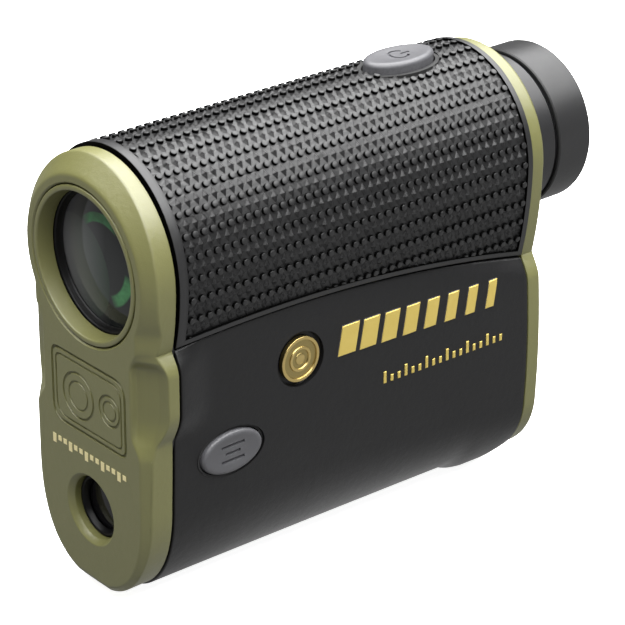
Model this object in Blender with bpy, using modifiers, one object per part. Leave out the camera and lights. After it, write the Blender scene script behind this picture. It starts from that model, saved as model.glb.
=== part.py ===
"""A hand-held laser rangefinder: a barrel-shaped monocular over a tapered electronics and battery housing.

Metres, +Z up. The front face looks along -Y and the eyepiece along +Y. The origin is under the middle of
the object, on the level of the flat heel beneath its rear end.

Most places are given as a distance behind the front face and a height above the optical axis.
"""

import math

import bmesh
import bpy
from mathutils import Matrix, Vector

LENGTH = 0.097
HEEL_DROP = 0.0016
BASE_BELOW_AXIS = 0.0565

FRONT_Y = -LENGTH / 2
OPTICAL_Z = BASE_BELOW_AXIS + HEEL_DROP

# Barrel sections: half an ellipse above the optical axis and a taller half ellipse below it, fuller towards
# the rear. The armour stands proud of both covers. Each is (rise, front and rear half-width, front and rear
# drop).
BARREL = (0.0176, 0.0164, 0.0168, 0.0278, 0.0385)
ARMOUR = (0.01825, 0.0168, 0.0172, 0.0255, 0.0367)

# Lower edge of the grip armour: its highest point, where that is, and how much the edge bows.
ARMOUR_EDGE_TOP = -0.0093
ARMOUR_EDGE_CREST = 0.022
ARMOUR_EDGE_BOW = 2.0

# Lower body section.
WAIST_FRONT = 0.0152
WAIST_REAR = 0.0153
FLANK_FRONT = 0.0150
FLANK_REAR = 0.0180
SHOULDER_HEIGHT = 0.0042
FRONT_BELLY = -0.037
REAR_BELLY = -0.042
HULL_POWER = 2.2
BASE_FLAT = 0.0004
HULL_DROP = BASE_BELOW_AXIS + BASE_FLAT
COVER_DROP = 0.0564
BULGE = 0.0019
BULGE_LENGTH = 0.008
BULGE_TOP = -0.0102
BULGE_FOOT = -0.0256

# Stations where the heel's swelling starts, is full, starts to fade and ends.
HEEL_STATIONS = (0.0670, 0.0715, 0.0755, 0.0830)

# Stations along the body, behind the front face.
FRONT_COVER_BACK = 0.00505
HOUSING_FRONT = 0.0056
HOUSING_BACK = 0.0797
REAR_COVER_FRONT = 0.0803
REAR_COVER_EDGE = 0.0824
REAR_COVER_BACK = 0.0828

HOUSING_WALL = 0.0015
ARMOUR_THICKNESS = 0.0016
GAP = 0.0003

# Flat front face: the disc round the objective, then half-widths down the face, and its lowest point.
FACE_RADIUS = 0.0144
FACE_COLLAR = 0.0127
FACE_NECK = 0.0113
FACE_FOOT = 0.0132
FACE_BASE = 0.0552

OBJECTIVE_BORE = 0.0130
TRIM_INNER = 0.0119
TRIM_BACK = 0.0030
OBJECTIVE_LENS_RADIUS = 0.0110
OBJECTIVE_LENS_FRONT = 0.0045
OBJECTIVE_TUBE_RADIUS = 0.0125
PRISM_WIDTH = 0.0150

LASER_BELOW_AXIS = 0.0424
LASER_MOUTH = 0.00624
LASER_BORE = 0.0050

BATTERY_BELOW_AXIS = 0.0360
BATTERY_RADIUS = 0.0078
BATTERY_LENGTH = 0.0270
BATTERY_FRONT = 0.0502
BATTERY_TUBE_BORE = 0.0081
BATTERY_TUBE_RADIUS = 0.0094
CAP_RADIUS = 0.0099
CAP_BORE = 0.0102

NECK_RADIUS = 0.0136
NECK_BORE = 0.0129
EYECUP_RADIUS = 0.0140
FOCUS_SEAM = 0.0893
NECK_FRONT = 0.0720
NECK_COLLAR = 0.0830
EYE_LENS_RADIUS = 0.0095

POWER_BEHIND = 0.0646
POWER_HALF_LENGTH = 0.0070
POWER_HALF_WIDTH = 0.0040
POWER_TOP = 0.0193
POWER_FOOT = 0.0138

MODE_BEHIND = 0.0164
MODE_ABOVE = -0.0311
MODE_HALF_LENGTH = 0.0060
MODE_HALF_WIDTH = 0.0036
MODE_FACE = 0.0159
MODE_FOOT = 0.0133

BADGE_BEHIND = 0.0303
BADGE_ABOVE = -0.0194
BADGE_RADIUS = 0.00385
BADGE_RECESS = 0.0047
BADGE_FLOOR = 0.0148

BOARD_X = 0.0090
BOARD_THICKNESS = 0.0010

UPPER_BOSS = (0.0140, -0.0205)
LOWER_BOSS = (0.0118, -0.0498)
BOSS_RADIUS = 0.0022
BOSS_FRONT = 0.0700
SCREW_HEAD = 0.0016
SCREW_SHANK = 0.0008

# Wrist-loop staple on the hidden lower edge.
LOOP_WIRE = 0.0007
LOOP_BEHIND = (0.0590, 0.0650)
LOOP_FOOT = (-0.0128, -0.0510)
LOOP_OUT = Vector((-0.72, 0.0, -0.69)).normalized()
LOOP_HEIGHT = 0.0030
LOOP_CORNER = 0.0012
LOOP_ROOT = 0.0028

OLIVE = (0.19, 0.19, 0.085)
BLACK_PLASTIC = (0.028, 0.028, 0.029)
BLACK_RUBBER = (0.022, 0.022, 0.023)
BLACK_METAL = (0.02, 0.02, 0.02)
GREY_RUBBER = (0.22, 0.22, 0.25)
GOLD = (0.68, 0.50, 0.16)
GLASS = (0.80, 0.92, 0.86)
BOARD_GREEN = (0.02, 0.16, 0.07)
CHIP_BLACK = (0.015, 0.015, 0.018)
STEEL = (0.60, 0.60, 0.60)
AMBER_FILM = (0.55, 0.27, 0.05)
CELL_BLUE = (0.05, 0.10, 0.35)

ALONG_Y = Matrix.Rotation(-math.pi / 2, 4, "X")
ALONG_X = Matrix.Rotation(math.pi / 2, 4, "Y")
UPRIGHT = Matrix.Identity(4)
LOOP_TURN = Vector((0, 0, 1)).rotation_difference(LOOP_OUT).to_matrix().to_4x4()
# Maps a flat drawing's (x, y) to the object's (X, Z) or (Y, Z) plane.
SECTION_PLANE = Matrix.Rotation(math.pi / 2, 4, "X")
SIDE_PLANE = Matrix(((0, 0, 1, 0), (1, 0, 0, 0), (0, 1, 0, 0), (0, 0, 0, 1)))


def collection(name):
    made = bpy.data.collections.new(name)
    bpy.context.scene.collection.children.link(made)
    return made


def clear_scene():
    for obj in list(bpy.data.objects):
        bpy.data.objects.remove(obj)


def place(x, behind, above):
    return Vector((x, FRONT_Y + behind, OPTICAL_Z + above))


def ease(share):
    share = min(max(share, 0.0), 1.0)
    return share * share * (3 - 2 * share)


def swell(share):
    """Rises like the side of an ellipse: steep at 0, level at 1."""
    return math.sin(math.pi / 2 * min(max(share, 0.0), 1.0))


def mix(first, last, share):
    return first + (last - first) * share


# Materials and objects


def finish(obj, colour, roughness=0.5, metallic=0.0, alpha=1.0):
    """Gives the object a Principled material of its own."""
    material = bpy.data.materials.new(obj.name + "_finish")
    material.use_nodes = True
    shader = material.node_tree.nodes["Principled BSDF"]
    shader.inputs["Base Color"].default_value = (*colour, 1.0)
    shader.inputs["Roughness"].default_value = roughness
    shader.inputs["Metallic"].default_value = metallic
    shader.inputs["Alpha"].default_value = alpha
    obj.data.materials.append(material)
    return obj


def add_object(name, data, home):
    obj = bpy.data.objects.new(name, data)
    home.objects.link(obj)
    if home is CUTTERS:
        obj.hide_render = True
        obj.display_type = "WIRE"
    return obj


def mesh_object(name, bm, home):
    mesh = bpy.data.meshes.new(name)
    bm.to_mesh(mesh)
    bm.free()
    mesh.shade_smooth()
    mesh.set_sharp_from_angle(angle=math.radians(35))
    return add_object(name, mesh, home)


def boolean(target, tool, operation="DIFFERENCE"):
    modifier = target.modifiers.new(tool.name, "BOOLEAN")
    modifier.operation = operation
    modifier.solver = "EXACT"
    modifier.object = tool
    return target


def round_edges(obj, width, segments=1):
    modifier = obj.modifiers.new("rounded_edges", "BEVEL")
    modifier.width = width
    modifier.segments = segments
    modifier.limit_method = "ANGLE"
    modifier.angle_limit = math.radians(40)
    return obj


# Basic solids


def block(name, low, high, home=None):
    """A box between two corners, each (x, behind, above)."""
    low, high = place(*low), place(*high)
    bm = bmesh.new()
    bmesh.ops.create_cube(bm, size=1.0)
    bmesh.ops.scale(bm, vec=high - low, verts=bm.verts)
    obj = mesh_object(name, bm, home or PARTS)
    obj.location = (low + high) / 2
    return obj


def oval(name, centre, half_length, half_width, depth, turn, home=None, segments=28):
    """An elliptical disc: its depth runs along the axis that turn gives to local Z."""
    bm = bmesh.new()
    bmesh.ops.create_cone(
        bm, cap_ends=True, segments=segments, radius1=1.0, radius2=1.0, depth=depth
    )
    bmesh.ops.scale(bm, vec=(half_width, half_length, 1.0), verts=bm.verts)
    obj = mesh_object(name, bm, home or PARTS)
    obj.matrix_world = Matrix.Translation(centre) @ turn
    return obj


def rod(name, radius, start, end, turn, home=None, segments=24):
    return oval(name, (start + end) / 2, radius, radius, (end - start).length, turn, home, segments)


def turned(name, profile, origin, home=None, steps=28, turn=ALONG_Y):
    """Turns (radius, along) points about the axis through origin; along runs the way turn sends local Z.

    A profile that touches the axis at both ends is open there, and any other one is a closed loop.
    """
    closed = profile[0][0] > 0
    count = len(profile)
    area = sum(
        profile[i][0] * profile[(i + 1) % count][1] - profile[(i + 1) % count][0] * profile[i][1]
        for i in range(count)
    )
    points = profile if area < 0 else profile[::-1]
    bm = bmesh.new()
    verts = [bm.verts.new((radius, 0.0, along)) for radius, along in points]
    for first, second in zip(verts, verts[1:]):
        bm.edges.new((first, second))
    if closed:
        bm.edges.new((verts[-1], verts[0]))
    mesh = bpy.data.meshes.new(name)
    bm.to_mesh(mesh)
    bm.free()
    obj = add_object(name, mesh, home or PARTS)
    obj.matrix_world = Matrix.Translation(origin) @ turn
    screw = obj.modifiers.new("turned", "SCREW")
    screw.axis = "Z"
    screw.steps = steps
    screw.render_steps = steps
    screw.use_merge_vertices = True
    screw.merge_threshold = 0.00001
    screw.use_smooth_shade = True
    return obj


def tube(name, bore, radius, front, back, above=0.0, steps=28, home=None):
    """A plain tube along Y."""
    profile = [(radius, back), (radius, front), (bore, front), (bore, back)]
    return turned(name, profile, place(0, 0, above), home, steps)


def lens(name, radius, front, back, front_crown, back_crown, above=0.0, steps=28):
    """A lens along Y, whose faces stand out by their crowns at the middle."""
    rings = 3
    profile = []
    for i in range(rings + 1):
        share = i / rings
        profile.append((radius * share, front - front_crown * (1 - share * share)))
    for i in range(rings, -1, -1):
        share = i / rings
        profile.append((radius * share, back + back_crown * (1 - share * share)))
    return turned(name, profile, place(0, 0, above), steps=steps)


def flat_outline(name, outlines, thickness, plane, centre, home=None):
    """A flat plate between one outer outline and any holes, with its mid-plane through centre."""
    curve = bpy.data.curves.new(name, "CURVE")
    curve.dimensions = "2D"
    curve.fill_mode = "BOTH"
    curve.extrude = thickness / 2
    for outline in outlines:
        spline = curve.splines.new("POLY")
        spline.points.add(len(outline) - 1)
        for point, (u, v) in zip(spline.points, outline):
            point.co = (u, v, 0.0, 1.0)
        spline.use_cyclic_u = True
    obj = add_object(name, curve, home or PARTS)
    obj.matrix_world = Matrix.Translation(centre) @ plane
    return obj


def ellipse(half_length, half_width, count=28):
    angles = [2 * math.pi * i / count for i in range(count)]
    return [(half_length * math.cos(a), half_width * math.sin(a)) for a in angles]


def loft(name, rings, home=None):
    """A closed solid through rings of points, capped at both ends."""
    bm = bmesh.new()
    rows = [[bm.verts.new(point) for point in ring] for ring in rings]
    count = len(rows[0])
    for near, far in zip(rows, rows[1:]):
        for i in range(count):
            j = (i + 1) % count
            bm.faces.new((near[i], near[j], far[j], far[i]))
    bm.faces.new(rows[0][::-1])
    bm.faces.new(rows[-1])
    bmesh.ops.recalc_face_normals(bm, faces=bm.faces)
    return mesh_object(name, bm, home or PARTS)


def sheet(name, rows):
    """An open surface through rows of points, for Solidify."""
    bm = bmesh.new()
    grid = [[bm.verts.new(point) for point in row] for row in rows]
    for near, far in zip(grid, grid[1:]):
        for i in range(len(near) - 1):
            bm.faces.new((near[i], near[i + 1], far[i + 1], far[i]))
    return mesh_object(name, bm, PARTS)


def thicken(obj, thickness):
    modifier = obj.modifiers.new("wall", "SOLIDIFY")
    modifier.thickness = thickness
    modifier.offset = -1.0
    modifier.use_even_offset = True
    return obj


# Body sections. Each half outline lists (x, above) points from the crown down the +X side to the base.


def taper(behind):
    """0 at the back of the front cover, 1 at the back of the housing."""
    return (behind - FRONT_COVER_BACK) / (HOUSING_BACK - FRONT_COVER_BACK)


def barrel_size(section, behind, inset=0.0):
    """Rise, half-width and drop of a barrel section at a station, moved inwards by an inset."""
    rise, front, rear, front_drop, rear_drop = section
    share = taper(behind)
    return rise - inset, mix(front, rear, share) - inset, mix(front_drop, rear_drop, share) - inset


def armour_edge(behind):
    """Height of the grip armour's lower edge, which bows upwards towards the front."""
    return ARMOUR_EDGE_TOP - ARMOUR_EDGE_BOW * (behind - ARMOUR_EDGE_CREST) ** 2


def heel_drop(behind):
    rise, crest, end, toe = HEEL_STATIONS
    return HEEL_DROP * min(ease((behind - rise) / (crest - rise)), ease((toe - behind) / (toe - end)))


def body_width(behind, above):
    """Half-width of the lower body, with the bulge behind the front cover's scoops."""
    share = taper(behind)
    front = FLANK_FRONT - 0.0005 * ((above + 0.020) / 0.020) ** 2
    rear = FLANK_REAR - 0.0008 * ((above + 0.036) / 0.016) ** 2
    waist = mix(WAIST_FRONT, WAIST_REAR, share)
    shoulder = swell((armour_edge(behind) - above) / SHOULDER_HEIGHT)
    fade = 1 - ease((behind - FRONT_COVER_BACK) / BULGE_LENGTH)
    bulge = BULGE * swell((BULGE_TOP - above) / 0.0038) * swell((above - BULGE_FOOT) / 0.0056)
    return mix(waist, mix(front, rear, share), shoulder) + fade * bulge


def barrel_points(section, behind, edge, inset=0.0, steps=8):
    """From the crown down to a height below the optical axis."""
    rise, width, drop = barrel_size(section, behind, inset)
    angles = [math.pi / 2 * i / steps for i in range(steps + 1)]
    crown = [(width * math.sin(a), rise * math.cos(a)) for a in angles]
    heights = [edge * i / 3 for i in (1, 2, 3)]
    return crown + [(width * math.sqrt(1 - (above / drop) ** 2), above) for above in heights]


def lower_points(behind, edge, width_at=body_width, base=HULL_DROP, power=HULL_POWER):
    """Shoulder, flank and rounded base below the height edge, ending on a narrow flat under the body."""
    points = []
    for i in (1, 2, 3):
        above = edge - SHOULDER_HEIGHT * i / 3
        points.append((width_at(behind, above), above))
    belly = mix(FRONT_BELLY, REAR_BELLY, taper(behind))
    top = edge - SHOULDER_HEIGHT
    for i in range(1, 7):
        above = mix(top, belly, i / 6)
        points.append((width_at(behind, above), above))
    half_width = points[-1][0]
    drop = base + heel_drop(behind) + belly
    flat = BASE_FLAT - base - heel_drop(behind)
    last = math.asin(((belly - flat) / drop) ** (power / 2))
    for i in range(1, 6):
        angle = last * i / 5
        x = half_width * math.cos(angle) ** (2 / power)
        points.append((x, belly - drop * math.sin(angle) ** (2 / power)))
    points.append((0.0, flat))
    return points


def housing_half(behind):
    edge = armour_edge(behind) - GAP
    ledge = (body_width(behind, edge), edge)
    under = barrel_points(ARMOUR, behind, edge, ARMOUR_THICKNESS + GAP)
    return under + [ledge] + lower_points(behind, edge)


def cover_half(behind):
    edge = armour_edge(behind)
    return barrel_points(BARREL, behind, edge) + lower_points(behind, edge, base=COVER_DROP)


def face_width(behind, above):
    """Half-width of the front face: the disc, the collar under it, the scooped neck, then the foot."""
    disc = math.sqrt(max(FACE_RADIUS**2 - above**2, 0.0))
    width = mix(FACE_COLLAR, FACE_NECK, swell((BULGE_TOP - above) / 0.0034))
    return max(disc, mix(width, FACE_FOOT, ease((-0.0244 - above) / 0.0040)))


def face_half():
    """Outline of the flat front face."""
    behind = FRONT_COVER_BACK
    edge = armour_edge(behind)
    points = []
    for x, above in barrel_points(BARREL, behind, edge):
        if above > 0:
            rise, width, _ = barrel_size(BARREL, behind)
            points.append((x * FACE_RADIUS / width, above * FACE_RADIUS / rise))
        else:
            points.append((face_width(behind, above), above))
    return points + lower_points(behind, edge, face_width, FACE_BASE, 2.4)


def chamfer_slope(above):
    """Reach outwards for each unit backwards on the front cover's chamfer, which is flatter in the scoops."""
    scoop = swell((BULGE_TOP - above) / 0.0030) * ease((above + 0.0284) / 0.0044)
    return 1.2 + 0.6 * scoop


def chamfer_ring(face, wall):
    """Where the chamfer that starts at the face's outline meets the side wall."""
    points = []
    for (x, above), (far_x, far_above) in zip(face, wall):
        reach = math.hypot(far_x - x, far_above - above)
        points.append(place(far_x, reach / chamfer_slope(above), far_above))
    return points


def hollow_ring(face, wall, share=0.6, depth=0.0007):
    """A station part of the way along the chamfer, sunk in the scoops."""
    points = []
    for (x, above), (far_x, far_above), end in zip(face, wall, chamfer_ring(face, wall)):
        scoop = ease((-0.0108 - above) / 0.0024) * ease((above + 0.0258) / 0.0046)
        behind = share * (end.y - FRONT_Y) + 0.4 * depth * scoop
        across = mix(x, far_x, share)
        across -= math.copysign(0.9 * depth * scoop, x) if x else 0.0
        points.append(place(across, behind, mix(above, far_above, share)))
    return points


def whole(half):
    """The full outline from its +X half."""
    return half + [(-x, z) for x, z in half[-2:0:-1]]


def inset_outline(outline, distance):
    """Moves each point of a closed outline inwards, square to the line between its neighbours."""
    count = len(outline)
    moved = []
    for i, (x, z) in enumerate(outline):
        before, after = outline[i - 1], outline[(i + 1) % count]
        along = Vector((after[0] - before[0], after[1] - before[1])).normalized()
        moved.append((x + along.y * distance, z - along.x * distance))
    return moved


def ring(outline, behind):
    return [place(x, behind, above) for x, above in outline]


# Housing, armour and covers


def main_housing():
    stations = [HOUSING_FRONT, 0.0092, 0.0131, 0.026, 0.040, 0.054, 0.067, 0.0715, 0.0755, HOUSING_BACK]
    outlines = [whole(housing_half(behind)) for behind in stations]
    rings = [ring(outline, behind) for outline, behind in zip(outlines, stations)]
    housing = finish(loft("main_housing", rings), BLACK_PLASTIC, 0.55)
    stations[0] -= 0.001
    stations[-1] += 0.001
    inner = [inset_outline(outline, HOUSING_WALL) for outline in outlines]
    hollow = [ring(outline, behind) for outline, behind in zip(inner, stations)]
    boolean(housing, loft("housing_hollow", hollow, CUTTERS))
    for name, x, above in screw_places():
        start, end = place(x, BOSS_FRONT, above), place(x, HOUSING_BACK - GAP, above)
        boss = rod(name + "_boss", BOSS_RADIUS, start, end, ALONG_Y, CUTTERS, 12)
        boolean(housing, boss, "UNION")
    for name, x, above in screw_places():
        start, end = place(x, BOSS_FRONT + 0.003, above), place(x, HOUSING_BACK + 0.002, above)
        boolean(housing, rod(name + "_pilot", SCREW_SHANK + GAP, start, end, ALONG_Y, CUTTERS, 8))
    power_centre = place(0, POWER_BEHIND, 0.0150)
    half_length, half_width = POWER_HALF_LENGTH + GAP, POWER_HALF_WIDTH + GAP
    boolean(housing, oval("power_well", power_centre, half_length, half_width, 0.008, UPRIGHT, CUTTERS))
    mode_centre = place(MODE_FACE, MODE_BEHIND, MODE_ABOVE)
    for name, margin, depth in (("mode_hole", GAP, 0.010), ("mode_seat", 0.0010, 0.0030)):
        half_length, half_width = MODE_HALF_LENGTH + margin, MODE_HALF_WIDTH + margin
        boolean(housing, oval(name, mode_centre, half_length, half_width, depth, ALONG_X, CUTTERS))
    badge_start = place(BADGE_FLOOR, BADGE_BEHIND, BADGE_ABOVE)
    badge_end = badge_start + Vector((0.004, 0, 0))
    boolean(housing, rod("badge_recess", BADGE_RECESS, badge_start, badge_end, ALONG_X, CUTTERS, 32))
    for side in (0, 1):
        start, end = loop_leg(side, -0.004), loop_leg(side, 0.002)
        boolean(housing, rod(f"loop_hole_{side}", LOOP_WIRE + GAP, start, end, LOOP_TURN, CUTTERS, 8))
    return housing


def grip_armor():
    rows = []
    for behind in (HOUSING_FRONT, 0.015, 0.026, 0.038, 0.050, 0.060, 0.070, HOUSING_BACK):
        half = barrel_points(ARMOUR, behind, armour_edge(behind))
        outline = [(-x, z) for x, z in half[:0:-1]] + half
        rows.append(ring(outline, behind))
    armour = thicken(sheet("grip_armor", rows), ARMOUR_THICKNESS)
    opening = oval(
        "power_opening", place(0, POWER_BEHIND, 0.0150), 0.0083, 0.0053, 0.010, UPRIGHT, CUTTERS
    )
    boolean(armour, opening)
    return finish(armour, BLACK_RUBBER, 0.75)


def front_cover():
    face, wall = whole(face_half()), whole(cover_half(FRONT_COVER_BACK))
    rings = [ring(face, 0.0), hollow_ring(face, wall), chamfer_ring(face, wall), ring(wall, FRONT_COVER_BACK)]
    cover = finish(loft("front_cover", rings), OLIVE, 0.45)
    inner = inset_outline(wall, 0.0020)
    pocket = loft("front_pocket", [ring(inner, 0.0034), ring(inner, 0.0060)], CUTTERS)
    boolean(cover, pocket)
    start, end = place(0, -0.001, 0), place(0, 0.008, 0)
    boolean(cover, rod("objective_bore", OBJECTIVE_BORE, start, end, ALONG_Y, CUTTERS, 40))
    mouth = [
        (0.0, -0.001), (LASER_MOUTH + 0.001, -0.001), (LASER_BORE, 0.00124),
        (LASER_BORE, 0.008), (0.0, 0.008),
    ]
    laser = turned("laser_mouth", mouth, place(0, 0, -LASER_BELOW_AXIS), CUTTERS)
    return boolean(cover, laser)


def rear_cover():
    front = cover_half(REAR_COVER_FRONT)
    back = inset_outline(whole(front), 0.0004)
    rings = [
        ring(whole(front), REAR_COVER_FRONT), ring(whole(front), REAR_COVER_EDGE), ring(back, REAR_COVER_BACK)
    ]
    cover = finish(loft("rear_cover", rings), OLIVE, 0.45)
    holes = [("eyepiece_bore", NECK_BORE, 0.0, 36), ("battery_bore", CAP_BORE, -BATTERY_BELOW_AXIS, 36)]
    for name, radius, above, segments in holes:
        start, end = place(0, REAR_COVER_FRONT - 0.001, above), place(0, REAR_COVER_BACK + 0.001, above)
        boolean(cover, rod(name, radius, start, end, ALONG_Y, CUTTERS, segments))
    for name, x, above in screw_places():
        start, end = place(x, REAR_COVER_FRONT - 0.001, above), place(x, REAR_COVER_BACK + 0.001, above)
        boolean(cover, rod(name + "_hole", SCREW_SHANK + GAP, start, end, ALONG_Y, CUTTERS, 8))
        seat = place(x, REAR_COVER_BACK - 0.0012, above)
        boolean(cover, rod(name + "_seat", SCREW_HEAD + GAP, seat, end, ALONG_Y, CUTTERS, 12))
    return cover


def gasket(name, behind, thickness, outline):
    outer = inset_outline(outline, 0.0008)[::2]
    inner = inset_outline(outline, 0.0016)[::2]
    seal = flat_outline(name, [outer, inner], thickness, SECTION_PLANE, place(0, behind, 0))
    return finish(seal, BLACK_RUBBER, 0.8)


def gaskets():
    front_mid = (FRONT_COVER_BACK + HOUSING_FRONT) / 2
    rear_mid = (HOUSING_BACK + REAR_COVER_FRONT) / 2
    gasket("front_gasket", front_mid, 0.0003, whole(cover_half(FRONT_COVER_BACK)))
    gasket("rear_gasket", rear_mid, 0.0003, whole(cover_half(REAR_COVER_FRONT)))


def screw_places():
    """The rear cover's screws, as (name, x, height above the axis)."""
    places = [(side * x, above) for x, above in (UPPER_BOSS, LOWER_BOSS) for side in (1, -1)]
    return [(f"rear_cover_screw_{i}", x, above) for i, (x, above) in enumerate(places, 1)]


def rear_cover_screws():
    head_back = REAR_COVER_BACK - 0.0001
    head_front = head_back - 0.0010
    tip = BOSS_FRONT + 0.0045
    profile = [
        (0.0, head_back - 0.0006), (0.0007, head_back - 0.0006), (0.0007, head_back), (SCREW_HEAD, head_back),
        (SCREW_HEAD, head_front), (SCREW_SHANK, head_front), (SCREW_SHANK, tip), (0.0, tip),
    ]
    for name, x, above in screw_places():
        finish(turned(name, profile, place(x, 0, above), steps=12), STEEL, 0.35, 1.0)


# Wrist loop


def loop_leg(side, out):
    """A point on one leg of the staple, at a distance out from the housing's surface."""
    return place(LOOP_FOOT[0], LOOP_BEHIND[side], LOOP_FOOT[1]) + LOOP_OUT * out


def lanyard_loop():
    inward = Vector((0, LOOP_CORNER, 0))
    bends = []
    for i in range(5):
        angle = math.pi / 2 * i / 4
        out = LOOP_HEIGHT - LOOP_CORNER * (1 - math.sin(angle))
        bends.append((out, inward * (1 - math.cos(angle))))
    points = [loop_leg(0, -LOOP_ROOT)]
    points += [loop_leg(0, out) + shift for out, shift in bends]
    points += [loop_leg(1, out) - shift for out, shift in reversed(bends)]
    points.append(loop_leg(1, -LOOP_ROOT))
    curve = bpy.data.curves.new("lanyard_loop", "CURVE")
    curve.dimensions = "3D"
    curve.bevel_depth = LOOP_WIRE
    curve.bevel_resolution = 1
    curve.use_fill_caps = True
    spline = curve.splines.new("POLY")
    spline.points.add(len(points) - 1)
    for point, co in zip(spline.points, points):
        point.co = (*co, 1.0)
    return finish(add_object("lanyard_loop", curve, PARTS), STEEL, 0.3, 1.0)


# Optics


def objective_group():
    trim = [
        (OBJECTIVE_BORE - 0.0002, 0.0002), (OBJECTIVE_BORE - 0.0005, 0.0), (TRIM_INNER, 0.0),
        (0.01165, TRIM_BACK - 0.0006), (0.01165, TRIM_BACK), (OBJECTIVE_BORE - 0.0002, TRIM_BACK),
    ]
    finish(turned("objective_trim_ring", trim, place(0, 0, 0), steps=36), OLIVE, 0.4)
    retainer = [(0.0124, 0.0033), (0.0113, 0.0033), (0.0109, 0.0037), (0.0109, 0.0042), (0.0124, 0.0042)]
    finish(turned("objective_retainer", retainer, place(0, 0, 0), steps=32), BLACK_METAL, 0.5, 0.6)
    radius = OBJECTIVE_TUBE_RADIUS
    barrel = [
        (radius, 0.0049), (radius, 0.0120), (0.0119, 0.0130), (0.0119, 0.0300), (0.0100, 0.0300),
        (0.0100, 0.0140), (0.0113, 0.0130), (0.0113, 0.0049),
    ]
    finish(turned("objective_tube", barrel, place(0, 0, 0)), BLACK_METAL, 0.6, 0.6)
    edge = OBJECTIVE_LENS_FRONT
    front = lens("objective_front_lens", OBJECTIVE_LENS_RADIUS, edge, edge + 0.0018, 0.0009, 0.0006)
    finish(front, GLASS, 0.02, 0, 0.35)
    tube("objective_spacer", 0.0103, 0.0110, 0.0075, 0.0089, steps=32)
    finish(bpy.data.objects["objective_spacer"], BLACK_METAL, 0.5, 0.5)
    rear = lens("objective_rear_lens", OBJECTIVE_LENS_RADIUS, 0.0092, 0.0118, -0.0003, 0.0003, steps=32)
    finish(rear, GLASS, 0.02, 0, 0.35)
    finish(o_ring("objective_o_ring", 0.0119, 0.0004, 0.0144, 0.0), BLACK_RUBBER, 0.7)


def o_ring(name, radius, wire, behind, above):
    """A rubber ring whose inside diameter grips the part it is on; radius is that of its inner edge."""
    middle = radius + GAP / 2 + wire
    profile = []
    for i in range(6):
        angle = 2 * math.pi * i / 6
        profile.append((middle + wire * math.cos(angle), behind + wire * math.sin(angle)))
    return turned(name, profile, place(0, 0, above), steps=24)


def prism_cage():
    cage = block("prism_carrier", (-0.0093, 0.0320, -0.0115), (0.0093, 0.0585, 0.0094))
    inside = block("cage_inside", (-0.0082, 0.0335, -0.0100), (0.0082, 0.0570, 0.0120), CUTTERS)
    boolean(cage, inside)
    light = rod("cage_light_path", 0.0070, place(0, 0.030, 0), place(0, 0.061, 0), ALONG_Y, CUTTERS, 24)
    boolean(cage, light)
    start, end = place(0, 0.0440, -0.014), place(0, 0.0440, -0.008)
    boolean(cage, rod("cage_receiver_hole", 0.0040, start, end, UPRIGHT, CUTTERS, 20))
    finish(cage, BLACK_METAL, 0.6, 0.4)
    penta = [(0.0340, -0.0070), (0.0440, -0.0070), (0.0468, 0.0010), (0.0410, 0.0086), (0.0340, 0.0030)]
    roof = [(0.0472, -0.0090), (0.0562, -0.0060), (0.0562, 0.0085), (0.0500, 0.0085), (0.0474, 0.0014)]
    for name, outline in (("half_penta_prism", penta), ("roof_prism", roof)):
        prism = flat_outline(name, [outline], PRISM_WIDTH, SIDE_PLANE, place(0, 0, 0))
        finish(prism, GLASS, 0.02, 0, 0.35)


def viewing_display():
    panel = block("display_panel", (-0.0065, 0.0592, -0.0060), (0.0065, 0.0604, 0.0060))
    return finish(panel, GLASS, 0.05, 0, 0.35)


def laser_group():
    above = -LASER_BELOW_AXIS
    finish(tube("laser_window_retainer", 0.0039, 0.0047, 0.0024, 0.0030, above, 24), BLACK_METAL, 0.5, 0.5)
    window = [(0.0, 0.0033), (0.0047, 0.0033), (0.0047, 0.0043), (0.0, 0.0043)]
    finish(turned("laser_window", window, place(0, 0, above), steps=24), (0.05, 0.03, 0.04), 0.05, 0, 0.6)
    barrel = [
        (0.0047, 0.0047), (0.0047, 0.0062), (0.0054, 0.0066), (0.0054, 0.0300), (0.0033, 0.0300),
        (0.0033, 0.0120), (0.0040, 0.0110), (0.0040, 0.0047),
    ]
    finish(turned("laser_tube", barrel, place(0, 0, above), steps=24), BLACK_METAL, 0.5, 0.6)
    collimator = lens("laser_collimator_lens", 0.0037, 0.0068, 0.0082, 0.0006, 0.0, above, 24)
    finish(collimator, GLASS, 0.02, 0, 0.35)
    can = [
        (0.0, 0.0270), (0.0022, 0.0270), (0.0022, 0.0298), (0.0027, 0.0298), (0.0027, 0.0308), (0.0, 0.0308)
    ]
    finish(turned("laser_diode", can, place(0, 0, above), steps=24), STEEL, 0.3, 1.0)
    board = block("laser_diode_board", (-0.0060, 0.0312, above - 0.0060), (0.0060, 0.0322, above + 0.0060))
    finish(board, BOARD_GREEN, 0.5)


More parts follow.
